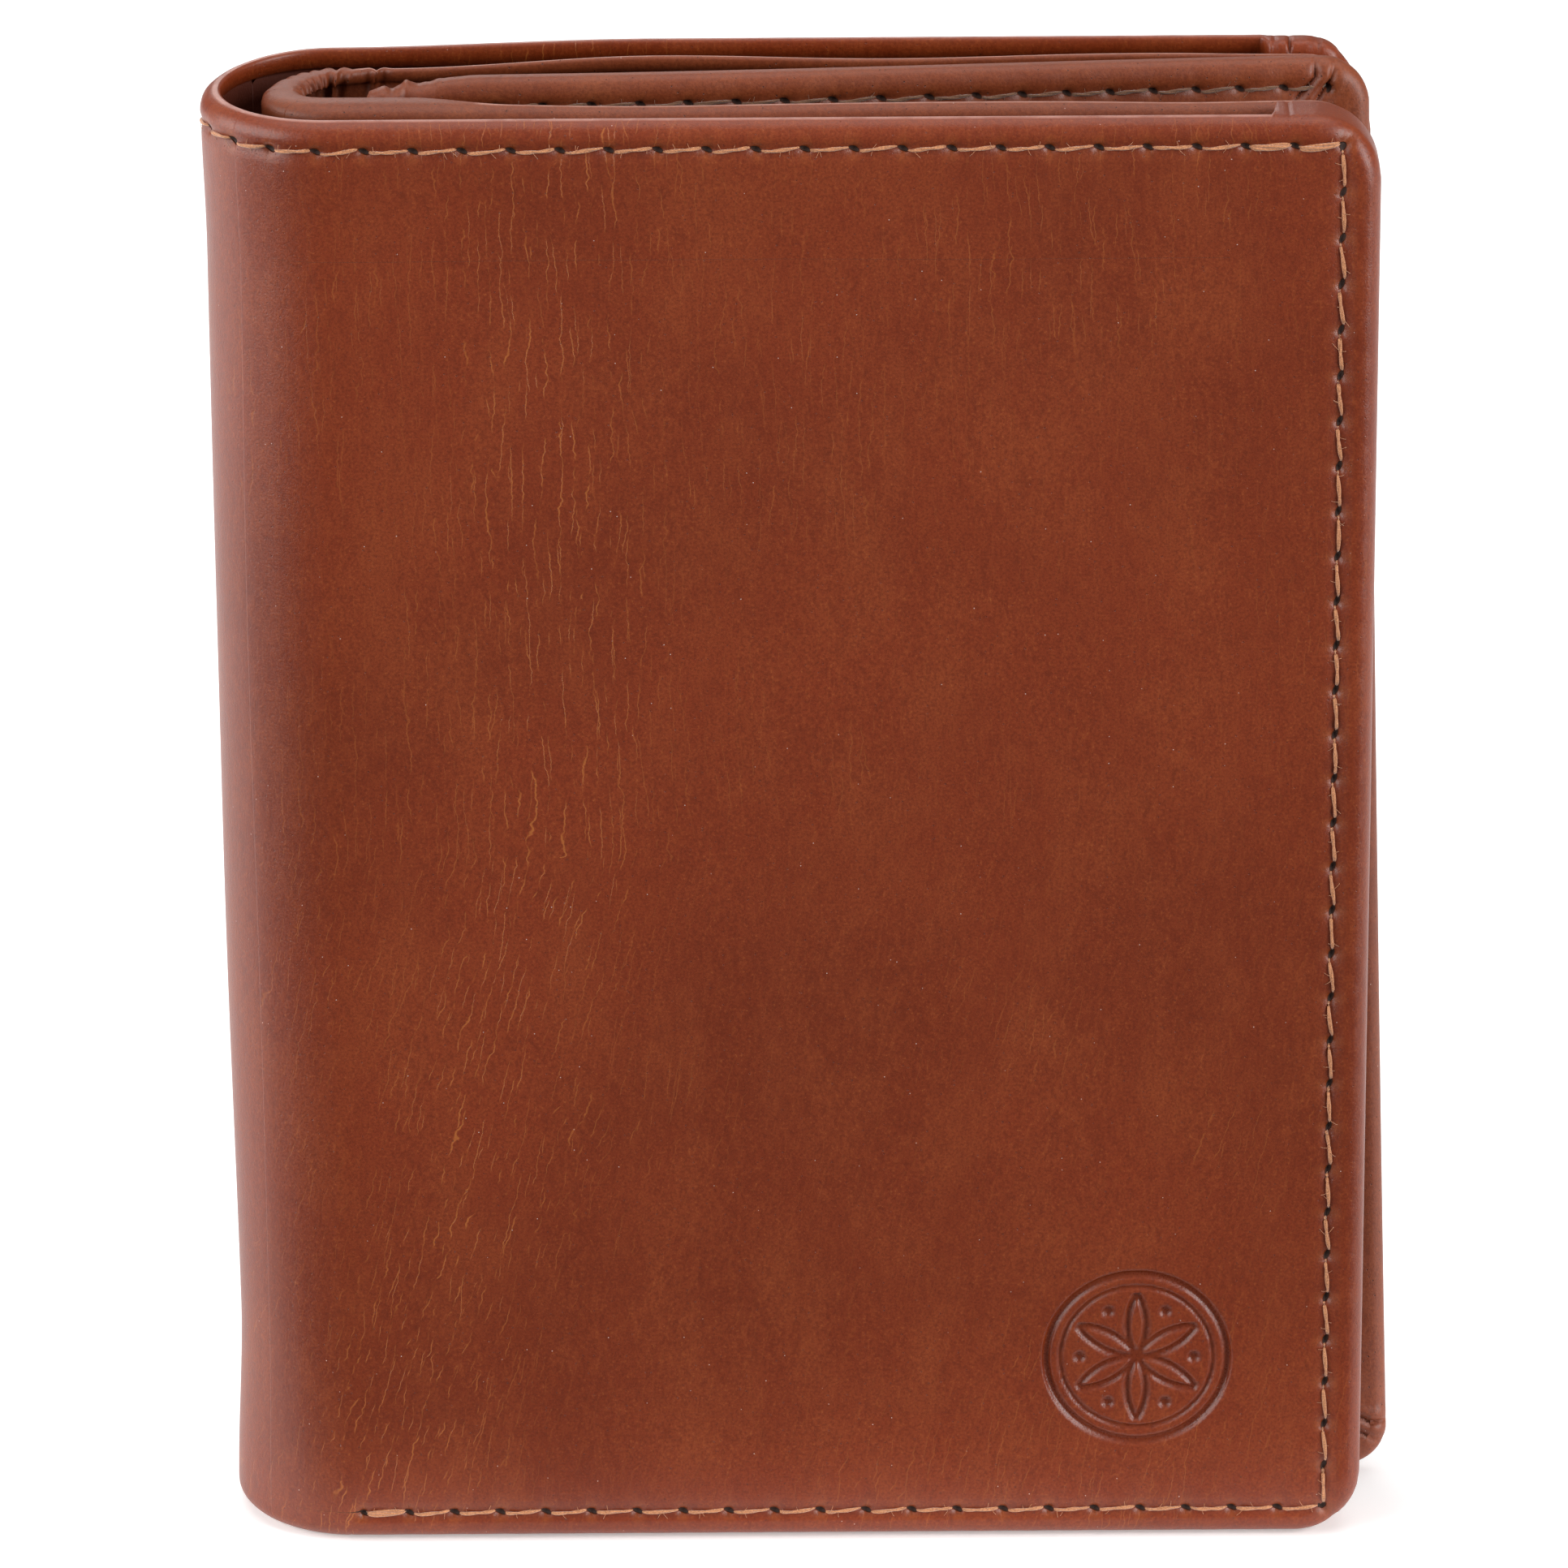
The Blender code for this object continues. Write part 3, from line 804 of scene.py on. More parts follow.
def outer_profile(u, z, du, dz, order):
    """Thin hem along the top, thick turned edge along the closed sides."""
    reach = OUTER_FOLD.reach(u)
    depth = FRONT_DEPTH if u > OUTER_FOLD.length / 2 else BACK_DEPTH
    closed_top = float(smooth(np.array(WRAP - reach), -0.35 * MM, 0.35 * MM))
    closed_bottom = float(smooth(np.array(OUTER_FOLD.flat + 0.0007 - reach), -0.35 * MM, 0.35 * MM))
    closed = closed_top if dz > 0.5 else closed_bottom if dz < -0.5 else 1.0
    thick = HEM + (depth - HEM) * closed
    lip = 1.3 * MM
    inner_round = 0.28 * MM + 0.5 * MM * closed
    down = 1.15 * MM + 0.45 * MM * closed
    sweep = radians(62 + 28 * closed)
    shape = edge_profile(INSET, 1.5 * MM, down, thick, inner_round, lip, SHELL, sweep)
    if dz > 0 and 0 < closed_top:
        around = (reach if dz > 0.98 else CORNER - (CORNER - INSET) * asin(min(1.0, abs(du)))) / MM
        cuts_here = BACK_CREASES if u < OUTER_FOLD.length / 2 else FRONT_CREASES
        crease = sum(d * np.exp(-((around - place) / 0.16) ** 2) for place, d in cuts_here)
        deep_in = np.clip((np.arange(PROFILE) - 5) / 3, 0.12, 1) * (np.arange(PROFILE) < INSIDE)
        shape[:, 0] -= 0.5 * MM * crease * deep_in * closed_top
    return shape


# Creases of the turned corners: how far from the free edge, and how deep
BACK_CREASES = ((6.6, 1.0), (4.6, 0.9), (3.1, 0.7), (1.8, 0.6), (7.8, 0.35))
FRONT_CREASES = ((7.4, 0.35),)

OUTER_SEAMS = [
    Seam([
        (SEAM_SIDE, SEAM_BOTTOM), (SEAM_SIDE, HEIGHT - SEAM_TOP),
        (OUTER_FOLD.length - SEAM_SIDE, HEIGHT - SEAM_TOP),
        (OUTER_FOLD.length - SEAM_SIDE, SEAM_BOTTOM),
        (FRONT_START + 0.5 * MM, SEAM_BOTTOM),
    ]),
    Seam([(BACK_END - 0.5 * MM, SEAM_BOTTOM), (SEAM_SIDE, SEAM_BOTTOM)]),
]
BY_A_CUT = (-0.4, -0.2, -0.1, -0.05, 0.05, 0.1, 0.2, 0.4)
HOLE_OFFSETS = [o * MM for o in (-0.7, -0.42, -0.2, 0.0, 0.2, 0.42, 0.7)]
LINE_OFFSETS = [o * MM for o in (-1.1, -0.7, -0.42, -0.2, 0.0, 0.2, 0.42, 0.7, 1.1)]


def emblem_lines(x, z):
    """A ring round a six-petalled rosette, from 0 to 1: plain geometry, no mark."""
    px, pz = (x - EMBLEM[0]) / EMBLEM_RADIUS, (z - EMBLEM[1]) / EMBLEM_RADIUS
    distance = np.hypot(px, pz)
    lines = 1 - smooth(np.abs(distance - 0.95), 0.020, 0.055)
    lines = np.maximum(lines, 0.8 * (1 - smooth(np.abs(distance - 0.80), 0.010, 0.036)))
    petals = np.zeros_like(distance)
    for k in range(6):
        turn = pi / 2 + k * pi / 3
        from_centre = np.hypot(px - 0.72 * cos(turn), pz - 0.72 * sin(turn))
        petals = np.maximum(petals, 1 - smooth(np.abs(from_centre - 0.72), 0.016, 0.048))
        aside = turn + pi / 6
        dot = np.hypot(px - 0.60 * cos(aside), pz - 0.60 * sin(aside))
        petals = np.maximum(petals, 1 - smooth(dot, 0.035, 0.080))
    return np.maximum(lines, petals * (1 - smooth(distance, 0.71, 0.74)))


def emblem_sink(x, z):
    distance = np.hypot(x - EMBLEM[0], z - EMBLEM[1]) / EMBLEM_RADIUS
    return EMBLEM_DEPTH * (emblem_lines(x, z) + 0.25 * (1 - smooth(distance, 0.93, 1.04)))


def outer_press(u, z):
    x, _, _, _ = OUTER_FOLD.at(u)
    return np.where(u > FRONT_START, emblem_lines(x, z), 0.0)


OUTER_WAVE = ripple(
    (0.16 * MM, 0.083, 0.210, 0.4), (0.10 * MM, 0.047, -0.090, 1.9), (0.05 * MM, 0.023, 0.061, 4.0),
)


def edge_roll(u, z):
    """The padded roll between a sewn edge and its seam, pulled in a little at each stitch."""
    reach = OUTER_FOLD.reach(u)
    side = bump_at(reach, 1.7 * MM, 0.75 * MM) * (1 + 0.3 * np.cos(2 * pi * z / PITCH + pi))
    foot = bump_at(z, 1.3 * MM, 0.7 * MM) * (reach < OUTER_FOLD.flat)
    head = bump_at(HEIGHT - z, 1.3 * MM, 0.6 * MM) * (1 + 0.3 * np.cos(2 * pi * u / PITCH))
    return 0.16 * MM * np.maximum(side, 0.5 * np.maximum(foot, head))


def outer_sink(u, z):
    total = OUTER_SEAMS[0].sink(u, z) + OUTER_SEAMS[1].sink(u, z) - edge_roll(u, z)
    x, _, _, _ = OUTER_FOLD.at(u)
    on_front = u > FRONT_START
    return total + np.where(on_front, emblem_sink(x, z), 0.0)


def back_lift(u, z, fold, top):
    """Raises the rim of a fold's back half, most at its free side, to fit the photo's outline."""
    by_spine = 0.6 * smooth(u, fold.flat - 26 * MM, fold.flat)
    back = 1 - by_spine - 0.4 * smooth(u, fold.flat, fold.length / 2)
    return RIM_LIFT * back * smooth(z, top - 2.1 * MM, top - 0.3 * MM)


def outer_sway(u, z):
    """Slow unevenness that dies away at the edges."""
    reach = OUTER_FOLD.reach(u)
    calm = smooth(reach, 4 * MM, 22 * MM) * smooth(z, 0, 18 * MM) * smooth(HEIGHT - z, 0, 14 * MM)
    return 0.35 * MM * calm + OUTER_WAVE(u, z) * calm


def hole_marks(seams, axis):
    return [h[axis] for seam in seams for h in seam.holes()]


def outer_rows():
    marks = hole_marks(OUTER_SEAMS, 1)
    runs = [SEAM_BOTTOM, HEIGHT - SEAM_TOP]
    places = spread(INSET, HEIGHT - INSET, 0.95 * MM, sorted(set(marks)), HOLE_OFFSETS[1:-1])
    extra = np.array([r + o for r in runs for o in LINE_OFFSETS])
    emblem = np.arange(EMBLEM[1] - 1.05 * EMBLEM_RADIUS, EMBLEM[1] + 1.05 * EMBLEM_RADIUS, 0.2 * MM)
    return shares(merged([places, extra, emblem], 0.05 * MM, INSET, HEIGHT - INSET))


OUTER_ROWS = outer_rows()
OUTER_CUTS = OUTER_FOLD.split(INSET, OUTER_FOLD.length - INSET)
OUTER_NAMES = ["back_cover_leather", "spine_leather_back", "spine_leather_front", "front_cover_leather"]
OUTER_STANDS = [
    ["back_shell"], ["spine_shell_1"], ["spine_shell_2"], ["spine_shell_3", "front_shell"]
]


def join_bodies(piece, fold, part):
    """Bakes the transform of one of a fold's four pieces into its mesh."""
    places = fold.split(fold.flat, fold.length - fold.flat)
    start, end = fold.point(places[part]), fold.point(places[part + 1])
    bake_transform(piece)


def with_extra(places, extra, cuts, start, end):
    """A piece's columns with the extra ones inside it and fine ones beside its cuts."""
    extra = extra + [cut + o * MM for cut in cuts[1:-1] for o in BY_A_CUT]
    places = merged([places, [e for e in extra if start < e < end]], 0.04 * MM)
    places[0], places[-1] = start, end
    return places


def outer_columns(part):
    start, end = OUTER_CUTS[part], OUTER_CUTS[part + 1]
    marks = [m for m in hole_marks(OUTER_SEAMS, 0) if start < m < end]
    step = 0.95 * MM if part in (0, 3) else 0.5 * MM
    places = spread(start, end, step, sorted(set(marks)), HOLE_OFFSETS[1:-1])
    extra = [side + o for side in (OUTER_FOLD.length - SEAM_SIDE, SEAM_SIDE) for o in LINE_OFFSETS]
    for free, sign in ((0.0, 1), (OUTER_FOLD.length, -1)):
        extra += [free + sign * step for step in corner_steps(CORNER, INSET)]
        extra += [free + sign * (WRAP + o * MM) for o in (-0.5, -0.35, -0.15, 0.15, 0.35, 0.5)]
        extra += [free + sign * (CORNER + o * 0.13 * MM) for o in range(22)]
    if part == 3:
        middle = FRONT_START + EMBLEM[0] - OUTER_FOLD.x
        extra += list(np.arange(middle - 1.05 * EMBLEM_RADIUS, middle + 1.05 * EMBLEM_RADIUS, 0.2 * MM))
    return with_extra(places, extra, OUTER_CUTS, start, end)


for part in range(4):
    piece = sheet(
        OUTER_NAMES[part], OUTER_FOLD, outer_columns(part), outer_trim, OUTER_ROWS, outer_profile,
        SHELL, OUTER, outer_sink, outer_sway, cuts=(part > 0, part < 3), seams=OUTER_SEAMS,
        press=outer_press, lift=lambda u, z: back_lift(u, z, OUTER_FOLD, HEIGHT),
    )
    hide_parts(*OUTER_STANDS[part])
    join_bodies(piece, OUTER_FOLD, part)
    span = (-1, *OUTER_CUTS[1:-1], 1)[part:part + 2]
    for number, seam in enumerate(OUTER_SEAMS):
        top_end = OUTER_SEAMS[0].runs[1][3] + OUTER_SEAMS[0].runs[1][4]
        heavy = (top_end - 1, top_end - 2, seam.count - 1) if number == 0 else (0,)
        thread = stitches(
            f"{OUTER_NAMES[part]}_seam_{number + 1}", OUTER_FOLD, seam, THREAD, span, 0.10 * MM,
            10 * part + number, thick=heavy, sway=lambda u, z: outer_sway(u, z) + GROOVE,
        )
        if thread:
            join_bodies(thread, OUTER_FOLD, part)

# ---------------------------------------------------------------- inner fold

INNER_FOLD = Fold(FOLD_LEFT, PANEL_FRONT_Y, PANEL_BACK_Y)
INNER_INSET = 1.2 * MM


def inner_trim(u):
    drop = corner_drop(INNER_FOLD.reach(u), CORNER, INNER_INSET)
    return INNER_LOW + INNER_INSET + drop, INNER_HIGH - INNER_INSET - drop


def inner_profile(u, z, du, dz, order):
    past = u - INNER_FOLD.length / 2
    bent = float(1 - smooth(np.array(abs(past)), 9 * MM, 15 * MM))
    before_front = float(1 - smooth(np.array(past), 15 * MM, 23 * MM))
    soft = before_front * float(smooth(np.array(past), -13 * MM, -5 * MM))
    soft *= max(0.0, dz)
    return edge_profile(
        INNER_INSET, 1.15 * MM, (0.95 + 0.7 * soft) * MM, (1.35 + 2.0 * soft) * MM,
        (0.25 + 0.6 * soft) * MM, 0.9 * MM, PANEL, radians(62 + 28 * max(bent, soft)),
    )


INNER_WAVE = ripple((0.30 * MM, 0.062, 0.5, 0.0), (0.18 * MM, 0.031, -0.4, 1.2))


FOLD_CREASES = (
    (-11.9, 0.85), (-10.0, 0.30), (-8.9, 1.10), (-7.4, 0.35), (-6.2, 0.60), (-4.8, 0.30), (-3.9, 0.45),
    (-2.3, 0.25), (-0.5, 0.20),
)


def inner_pleats(u, z):
    """Creases where the inner fold is gathered, in the back half of its bend."""
    middle = INNER_FOLD.length / 2
    below = np.maximum(INNER_HIGH - z, 0)
    total = np.zeros_like(u + z)
    for place, amount in FOLD_CREASES:
        across = (u - middle) / MM - place - 0.22 * below / MM + 0.25 * np.sin(below / (1.3 * MM) + place)
        reach = np.exp(-below / ((1.0 + 2.6 * amount) * MM))
        cut = np.exp(-np.abs(across) / 0.16) - 0.45 * np.exp(-(((np.abs(across) - 0.62) / 0.42) ** 2))
        total = total + 0.75 * MM * amount * reach * cut
    dent = bump_at(u - middle, 7.5 * MM, 3.2 * MM) * np.exp(-below / (7 * MM))
    return total + 0.35 * MM * dent


def inner_sway(u, z):
    reach = INNER_FOLD.reach(u)
    calm = smooth(reach, 6 * MM, 24 * MM)
    rim = np.exp(-np.maximum(INNER_HIGH - z, 0) / (16 * MM))
    return INNER_WAVE(u, z) * calm * rim + inner_pleats(u, z)


def inner_lift(u, z):
    reach = INNER_FOLD.reach(u)
    calm = smooth(reach, 6 * MM, 20 * MM) * smooth(z, 60 * MM, HEIGHT)
    return 0.22 * MM * np.sin(2 * pi * u / 0.047) * calm + back_lift(u, z, INNER_FOLD, INNER_HIGH)


INNER_SEAMS = [
    Seam([
        (INNER_FOLD.length - SEAM_SIDE, INNER_HIGH - SEAM_TOP),
        (INNER_FOLD.length - SEAM_SIDE, SEAM_BOTTOM),
        (INNER_FOLD.length - INNER_FOLD.flat, SEAM_BOTTOM),
    ]),
    Seam([(INNER_FOLD.flat, SEAM_BOTTOM), (SEAM_SIDE, SEAM_BOTTOM), (SEAM_SIDE, INNER_HIGH - SEAM_TOP)]),
]
INNER_CUTS = INNER_FOLD.split(INNER_INSET, INNER_FOLD.length - INNER_INSET)
INNER_NAMES = ["back_inner_leather", "inner_fold_back", "inner_fold_front", "front_inner_leather"]
INNER_STANDS = [
    ["back_inner_panel"], ["inner_fold_1"], ["inner_fold_2"], ["inner_fold_3", "front_inner_panel"]
]


def inner_columns(part):
    start, end = INNER_CUTS[part], INNER_CUTS[part + 1]
    places = spread(start, end, 0.9 * MM if part in (0, 3) else 0.16 * MM)
    extra = []
    for free, sign in ((0.0, 1), (INNER_FOLD.length, -1)):
        extra += [free + sign * step for step in corner_steps(CORNER, INNER_INSET)]
    if part in (0, 3):
        edge = INNER_FOLD.flat if part == 0 else INNER_FOLD.length - INNER_FOLD.flat
        extra += list(np.arange(edge - 7 * MM, edge + 7 * MM, 0.18 * MM))
    return with_extra(places, extra, INNER_CUTS, start, end)


def inner_rows():
    height = INNER_HIGH - INNER_LOW - 2 * INNER_INSET
    places = spread(0.0, height, 1.1 * MM)
    near = np.concatenate([np.arange(0, 8 * MM, 0.35 * MM), height - np.arange(0, 12 * MM, 0.35 * MM)])
    return shares(merged([places, near], 0.08 * MM))


for part in range(4):
    piece = sheet(
        INNER_NAMES[part], INNER_FOLD, inner_columns(part), inner_trim, inner_rows(), inner_profile,
        PANEL, INNER, None, inner_sway, cuts=(part > 0, part < 3), lift=inner_lift,
    )
    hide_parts(*INNER_STANDS[part])
    join_bodies(piece, INNER_FOLD, part)
    span = (-1, *INNER_CUTS[1:-1], 1)[part:part + 2]
    for number, seam in enumerate(INNER_SEAMS):
        thread = stitches(
            f"{INNER_NAMES[part]}_seam_{number + 1}", INNER_FOLD, seam, THREAD, span, 0.10 * MM,
            100 + 10 * part + number, side=-1, sway=lambda u, z: PANEL + inner_sway(u, z),
        )
        if thread:
            join_bodies(thread, INNER_FOLD, part)

# ---------------------------------------------------------------- note linings


def plain_sheet(name, path, us, ends, rows, edge, finish, lift=None):
    """A sheet with level ends. edge is its edge_profile all round, in millimetres."""
    sizes = [size * MM for size in edge]
    return sheet(
        name, path, us, lambda u: (np.full_like(u, ends[0]), np.full_like(u, ends[1])), rows,
        lambda u, z, du, dz, order: edge_profile(*sizes), sizes[-1], finish, lift=lift,
    )


def lining(name, node, body, side):
    """Thin fabric on the inside of a cover."""
    y = low(node).y if side > 0 else high(node).y
    left, right = low(node).x, high(node).x
    bottom, top = low(node).z, high(node).z
    piece = plain_sheet(
        name, Plane(left, y, 0.0, side), np.linspace(0, right - left, 60), (bottom, top),
        np.linspace(0, 1, 80), (0.1, 0.1, 0.1, 0.28, 0.1, 0.1, 0.25), LINING,
    )
    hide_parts(node)
    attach(piece, body)
    return piece


lining("front_lining", "front_note_lining", "front_cover", 1)
lining("back_lining", "back_note_lining", "back_cover", -1)

# ---------------------------------------------------------------- card slots

SLOT_LEATHER = 0.4 * MM
SLOT_ROUND = 0.18 * MM


def card_slot(node, body, side):
    """One slot's leather: it leans out at its mouth, which is turned over and creased."""
    foot, mouth, left, right = low(node).z, high(node).z, low(node).x, high(node).x
    lean = high(node).y - low(node).y - SLOT_LEATHER
    outer = low(node).y if side > 0 else high(node).y
    path = Plane(left, outer, 0.0, side)
    inset = 0.5 * MM

    def leans(u, z):
        curve = 0.12 * MM * np.sin(pi * u / (right - left)) * smooth(z, foot, mouth)
        return lean * (mouth - z) / (mouth - foot) + curve

    def pressed(u, z):
        crease = 0.09 * MM * np.exp(-(((mouth - z - 1.5 * MM) / (0.16 * MM)) ** 2))
        from_side = np.minimum(u, right - left - u)
        edge_line = 0.09 * MM * np.exp(-(((from_side - 1.5 * MM) / (0.16 * MM)) ** 2))
        return crease + edge_line

    def profile(u, z, du, dz, order):
        thick = SLOT_LEATHER + (0.12 * MM if dz > 0.5 else 0.0)
        return edge_profile(inset, 0.3 * MM, SLOT_ROUND, thick, SLOT_ROUND, 0.45 * MM, SLOT_LEATHER)

    fine = np.arange(0, 2.5 * MM, 0.12 * MM)
    end = right - left - inset
    columns = merged([spread(inset, end, 0.9 * MM), inset + fine, end - fine], 0.0)
    tall = mouth - foot - 2 * inset
    places = merged([spread(0.0, tall, 0.9 * MM), tall - fine], 0.0, start=0.0)
    piece = sheet(
        node + "_leather", path, columns,
        lambda u: (np.full_like(u, foot + inset), np.full_like(u, mouth - inset)),
        places / places[-1], profile, SLOT_LEATHER, INNER, pressed, leans,
    )
    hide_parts(node)
    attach(piece, body)


for cover, side in (("front", -1), ("back", 1)):
    for kind in ("card_slot_1", "card_slot_2", "card_slot_3", "card_pocket"):
        card_slot(f"{cover}_{kind}", f"{cover}_cover", side)

# ---------------------------------------------------------------- leaf

LEAF_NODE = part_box("leaf_front")
LEAF_FRONT = 0.7 * MM
LEAF_SLANT = atan2(LEAF_NODE[1].y - LEAF_NODE[0].y - LEAF_FRONT, LEAF_NODE[1].x - LEAF_NODE[0].x)
LEAF_HALF = 1.15 * MM
LEAF_REACH = (LEAF_NODE[1].x - LEAF_AXIS[0]) / cos(LEAF_SLANT)
LEAF_PEEK = LEAF_NODE[1].x - RIGHT
LEAF_INSET = 1.4 * MM
LEAF_CORNER = 4.0 * MM
LEAF_SEAM_SIDE = 3.4 * MM
LEAF_SEAM_END = 2.3 * MM
LEAF_SEAM_START = 2.4 * MM
LEAF_PATH = Plane(
    LEAF_AXIS[0] + LEAF_HALF * sin(LEAF_SLANT), LEAF_AXIS[1] - LEAF_HALF * cos(LEAF_SLANT), LEAF_SLANT
)


def leaf_edge(z):
    """The free edge slants out towards the bottom."""
    t = np.clip((z - LEAF_LOW) / (LEAF_HIGH - LEAF_LOW), 0, 1)
    return LEAF_REACH + 0.7 * MM * (1 - t) ** 2 - (LEAF_PEEK + 0.3 * MM) * t


def leaf_shift(u, z):
    """Stretches the columns, so that the last one follows the slanting free edge."""
    share = smooth(u, 0.55 * LEAF_REACH, LEAF_REACH)
    return (leaf_edge(z) - LEAF_REACH) * share


def leaf_trim(u):
    drop = corner_drop(LEAF_REACH - u, LEAF_CORNER, LEAF_INSET)
    return LEAF_LOW + LEAF_INSET + drop, LEAF_HIGH - LEAF_INSET - drop


# Creases of the turned corners: both ends, as mm from the free edge and from the end, and depth
TOP_PLEATS = (((2.5, -0.8), (6.6, 3.6), 1.0), ((2.2, 0.0), (4.9, 3.9), 0.9))
FOOT_PLEATS = (((-0.6, 3.3), (5.0, 6.1), 1.0), ((-0.2, 1.9), (5.0, 4.9), 0.85))


def pleat_sink(pleats, from_edge, from_end):
    """Creases of a turned corner, with a swelling beside each."""
    total = np.zeros_like(from_edge)
    for (ax, az), (bx, bz), depth in pleats:
        ax, az, bx, bz = ax * MM, az * MM, bx * MM, bz * MM
        dx, dz = bx - ax, bz - az
        length = sqrt(dx * dx + dz * dz)
        s = ((from_edge - ax) * dx + (from_end - az) * dz) / length
        across = ((from_edge - ax) * -dz + (from_end - az) * dx) / length
        along = smooth(s, -1.2 * MM, 0.2 * MM) * (1 - smooth(s, length - 1.2 * MM, length + 0.4 * MM))
        cut = 0.62 * MM * np.exp(-np.abs(across) / (0.15 * MM))
        swell = -0.26 * MM * np.exp(-(((across - 0.75 * MM) / (0.55 * MM)) ** 2))
        total = total + depth * along * (cut + swell)
    return total


LEAF_SEAM = Seam([
    (LEAF_SEAM_START, LEAF_HIGH - LEAF_SEAM_END),
    (LEAF_REACH - LEAF_SEAM_SIDE, LEAF_HIGH - LEAF_SEAM_END),
    (LEAF_REACH - LEAF_SEAM_SIDE, LEAF_LOW + LEAF_SEAM_END),
    (LEAF_SEAM_START, LEAF_LOW + LEAF_SEAM_END),
])


def leaf_sink(u, z):
    from_edge = LEAF_REACH - u
    top = pleat_sink(TOP_PLEATS, from_edge, LEAF_HIGH - z)
    foot = pleat_sink(FOOT_PLEATS, from_edge, z - LEAF_LOW)
    return LEAF_SEAM.sink(u, z) + top + foot


def leaf_columns():
    marks = sorted({h[0] for h in LEAF_SEAM.holes()})
    places = spread(1.0 * MM, LEAF_REACH - LEAF_INSET, 0.9 * MM, marks, HOLE_OFFSETS[1:-1])
    extra = np.arange(LEAF_REACH - 11 * MM, LEAF_REACH - LEAF_INSET, 0.16 * MM)
    extra = np.concatenate([extra, np.arange(1.0 * MM, 6 * MM, 0.16 * MM)])
    edges = [LEAF_REACH - step for step in corner_steps(LEAF_CORNER, LEAF_INSET)]
    return merged([places, extra, edges], 0.04 * MM)


def leaf_rows():
    height = LEAF_HIGH - LEAF_LOW - 2 * LEAF_INSET
    marks = sorted({h[1] - LEAF_LOW - LEAF_INSET for h in LEAF_SEAM.holes()})
    places = spread(0.0, height, 0.95 * MM, marks, HOLE_OFFSETS[1:-1])
    near = np.concatenate([np.arange(0, 7 * MM, 0.16 * MM), height - np.arange(0, 7 * MM, 0.16 * MM)])
    return shares(merged([places, near], 0.04 * MM, 0.0, height))


def leaf_profile(u, z, du, dz, order):
    if order == 1:
        return edge_profile(0.3 * MM, 0.3 * MM, 0.3 * MM, LEAF_FRONT, 0.2 * MM, 0.3 * MM, LEAF_FRONT)
    return edge_profile(LEAF_INSET, 1.3 * MM, 1.1 * MM, 2.1 * MM, 0.5 * MM, 1.1 * MM, LEAF_FRONT)


WINDOW_MARGIN = 12.0 * MM
FILM_MARGIN = WINDOW_MARGIN - 2.5 * MM
LEAF_LEAN = 1.8 * MM


def window_hole(columns, rows):
    """The columns and rows that the window's opening takes out of the front leather."""
    first = int(np.searchsorted(columns, WINDOW_MARGIN))
    last = int(np.searchsorted(columns, LEAF_REACH - LEAF_PEEK - WINDOW_MARGIN))
    height = LEAF_HIGH - LEAF_LOW - 2 * LEAF_INSET
    margin = (WINDOW_MARGIN - LEAF_INSET) / height
    return first, last, int(np.searchsorted(rows, margin)), int(np.searchsorted(rows, 1 - margin))


def leaf_ragged(u, z):
    """The leaf's top end by the fold is cut roughly."""
    near = (1 - smooth(u, 0.5 * MM, 9 * MM)) * smooth(z, LEAF_HIGH - 4 * MM, LEAF_HIGH)
    teeth = 0.13 * np.sin(u / (0.42 * MM)) + 0.08 * np.sin(u / (0.17 * MM))
    return near * MM * (teeth + 0.5 * bump_at(u, 3 * MM, 0.3 * MM) - 0.9)


columns, rows = leaf_columns(), leaf_rows()
leaf_front = sheet(
    "leaf_front_leather", LEAF_PATH, columns, leaf_trim, rows, leaf_profile, LEAF_FRONT, INNER,
    leaf_sink, seams=[LEAF_SEAM], hole=window_hole(columns, rows), lift=leaf_ragged,
)


def leaf_lean(along, z):
    """The free top corner leans back, away from the front cover."""
    return LEAF_LEAN * smooth(z, 88 * MM, HEIGHT) * smooth(along, 15 * MM, LEAF_REACH)


def shear_leaf(item):
    """Slants the free edge of a piece of the leaf out towards its lower corner."""
    count = len(item.data.vertices)
    co = np.zeros(3 * count, np.float32)
    item.data.vertices.foreach_get("co", co)
    co = co.reshape(-1, 3)
    along = (co[:, 0] - LEAF_AXIS[0]) / cos(LEAF_SLANT)
    shift = leaf_shift(along, co[:, 2])
    co[:, 0] += shift * cos(LEAF_SLANT)
    co[:, 1] += shift * sin(LEAF_SLANT) + leaf_lean(along, co[:, 2])
    item.data.vertices.foreach_set("co", co.ravel())
    item.data.update()


leaf_thread = stitches(
    "leaf_seam", LEAF_PATH, LEAF_SEAM, yarn("leaf_thread", (0.10, 0.036, 0.013), (0.17, 0.070, 0.026)),
    (-1, 1), 0.05 * MM, 77, sway=lambda u, z: np.full_like(u, GROOVE),
)
back_path = Plane(
    LEAF_AXIS[0] - LEAF_HALF * sin(LEAF_SLANT), LEAF_AXIS[1] + LEAF_HALF * cos(LEAF_SLANT), LEAF_SLANT, -1
)
leaf_back = plain_sheet(
    "leaf_back_leather", back_path, spread(0.8 * MM, LEAF_REACH - 2.6 * MM, 1.2 * MM),
    (LEAF_LOW + 1.9 * MM, LEAF_HIGH - 1.9 * MM), np.linspace(0, 1, 100),
    (0.4, 0.4, 0.25, 0.5, 0.15, 0.4, 0.5), INNER,
)
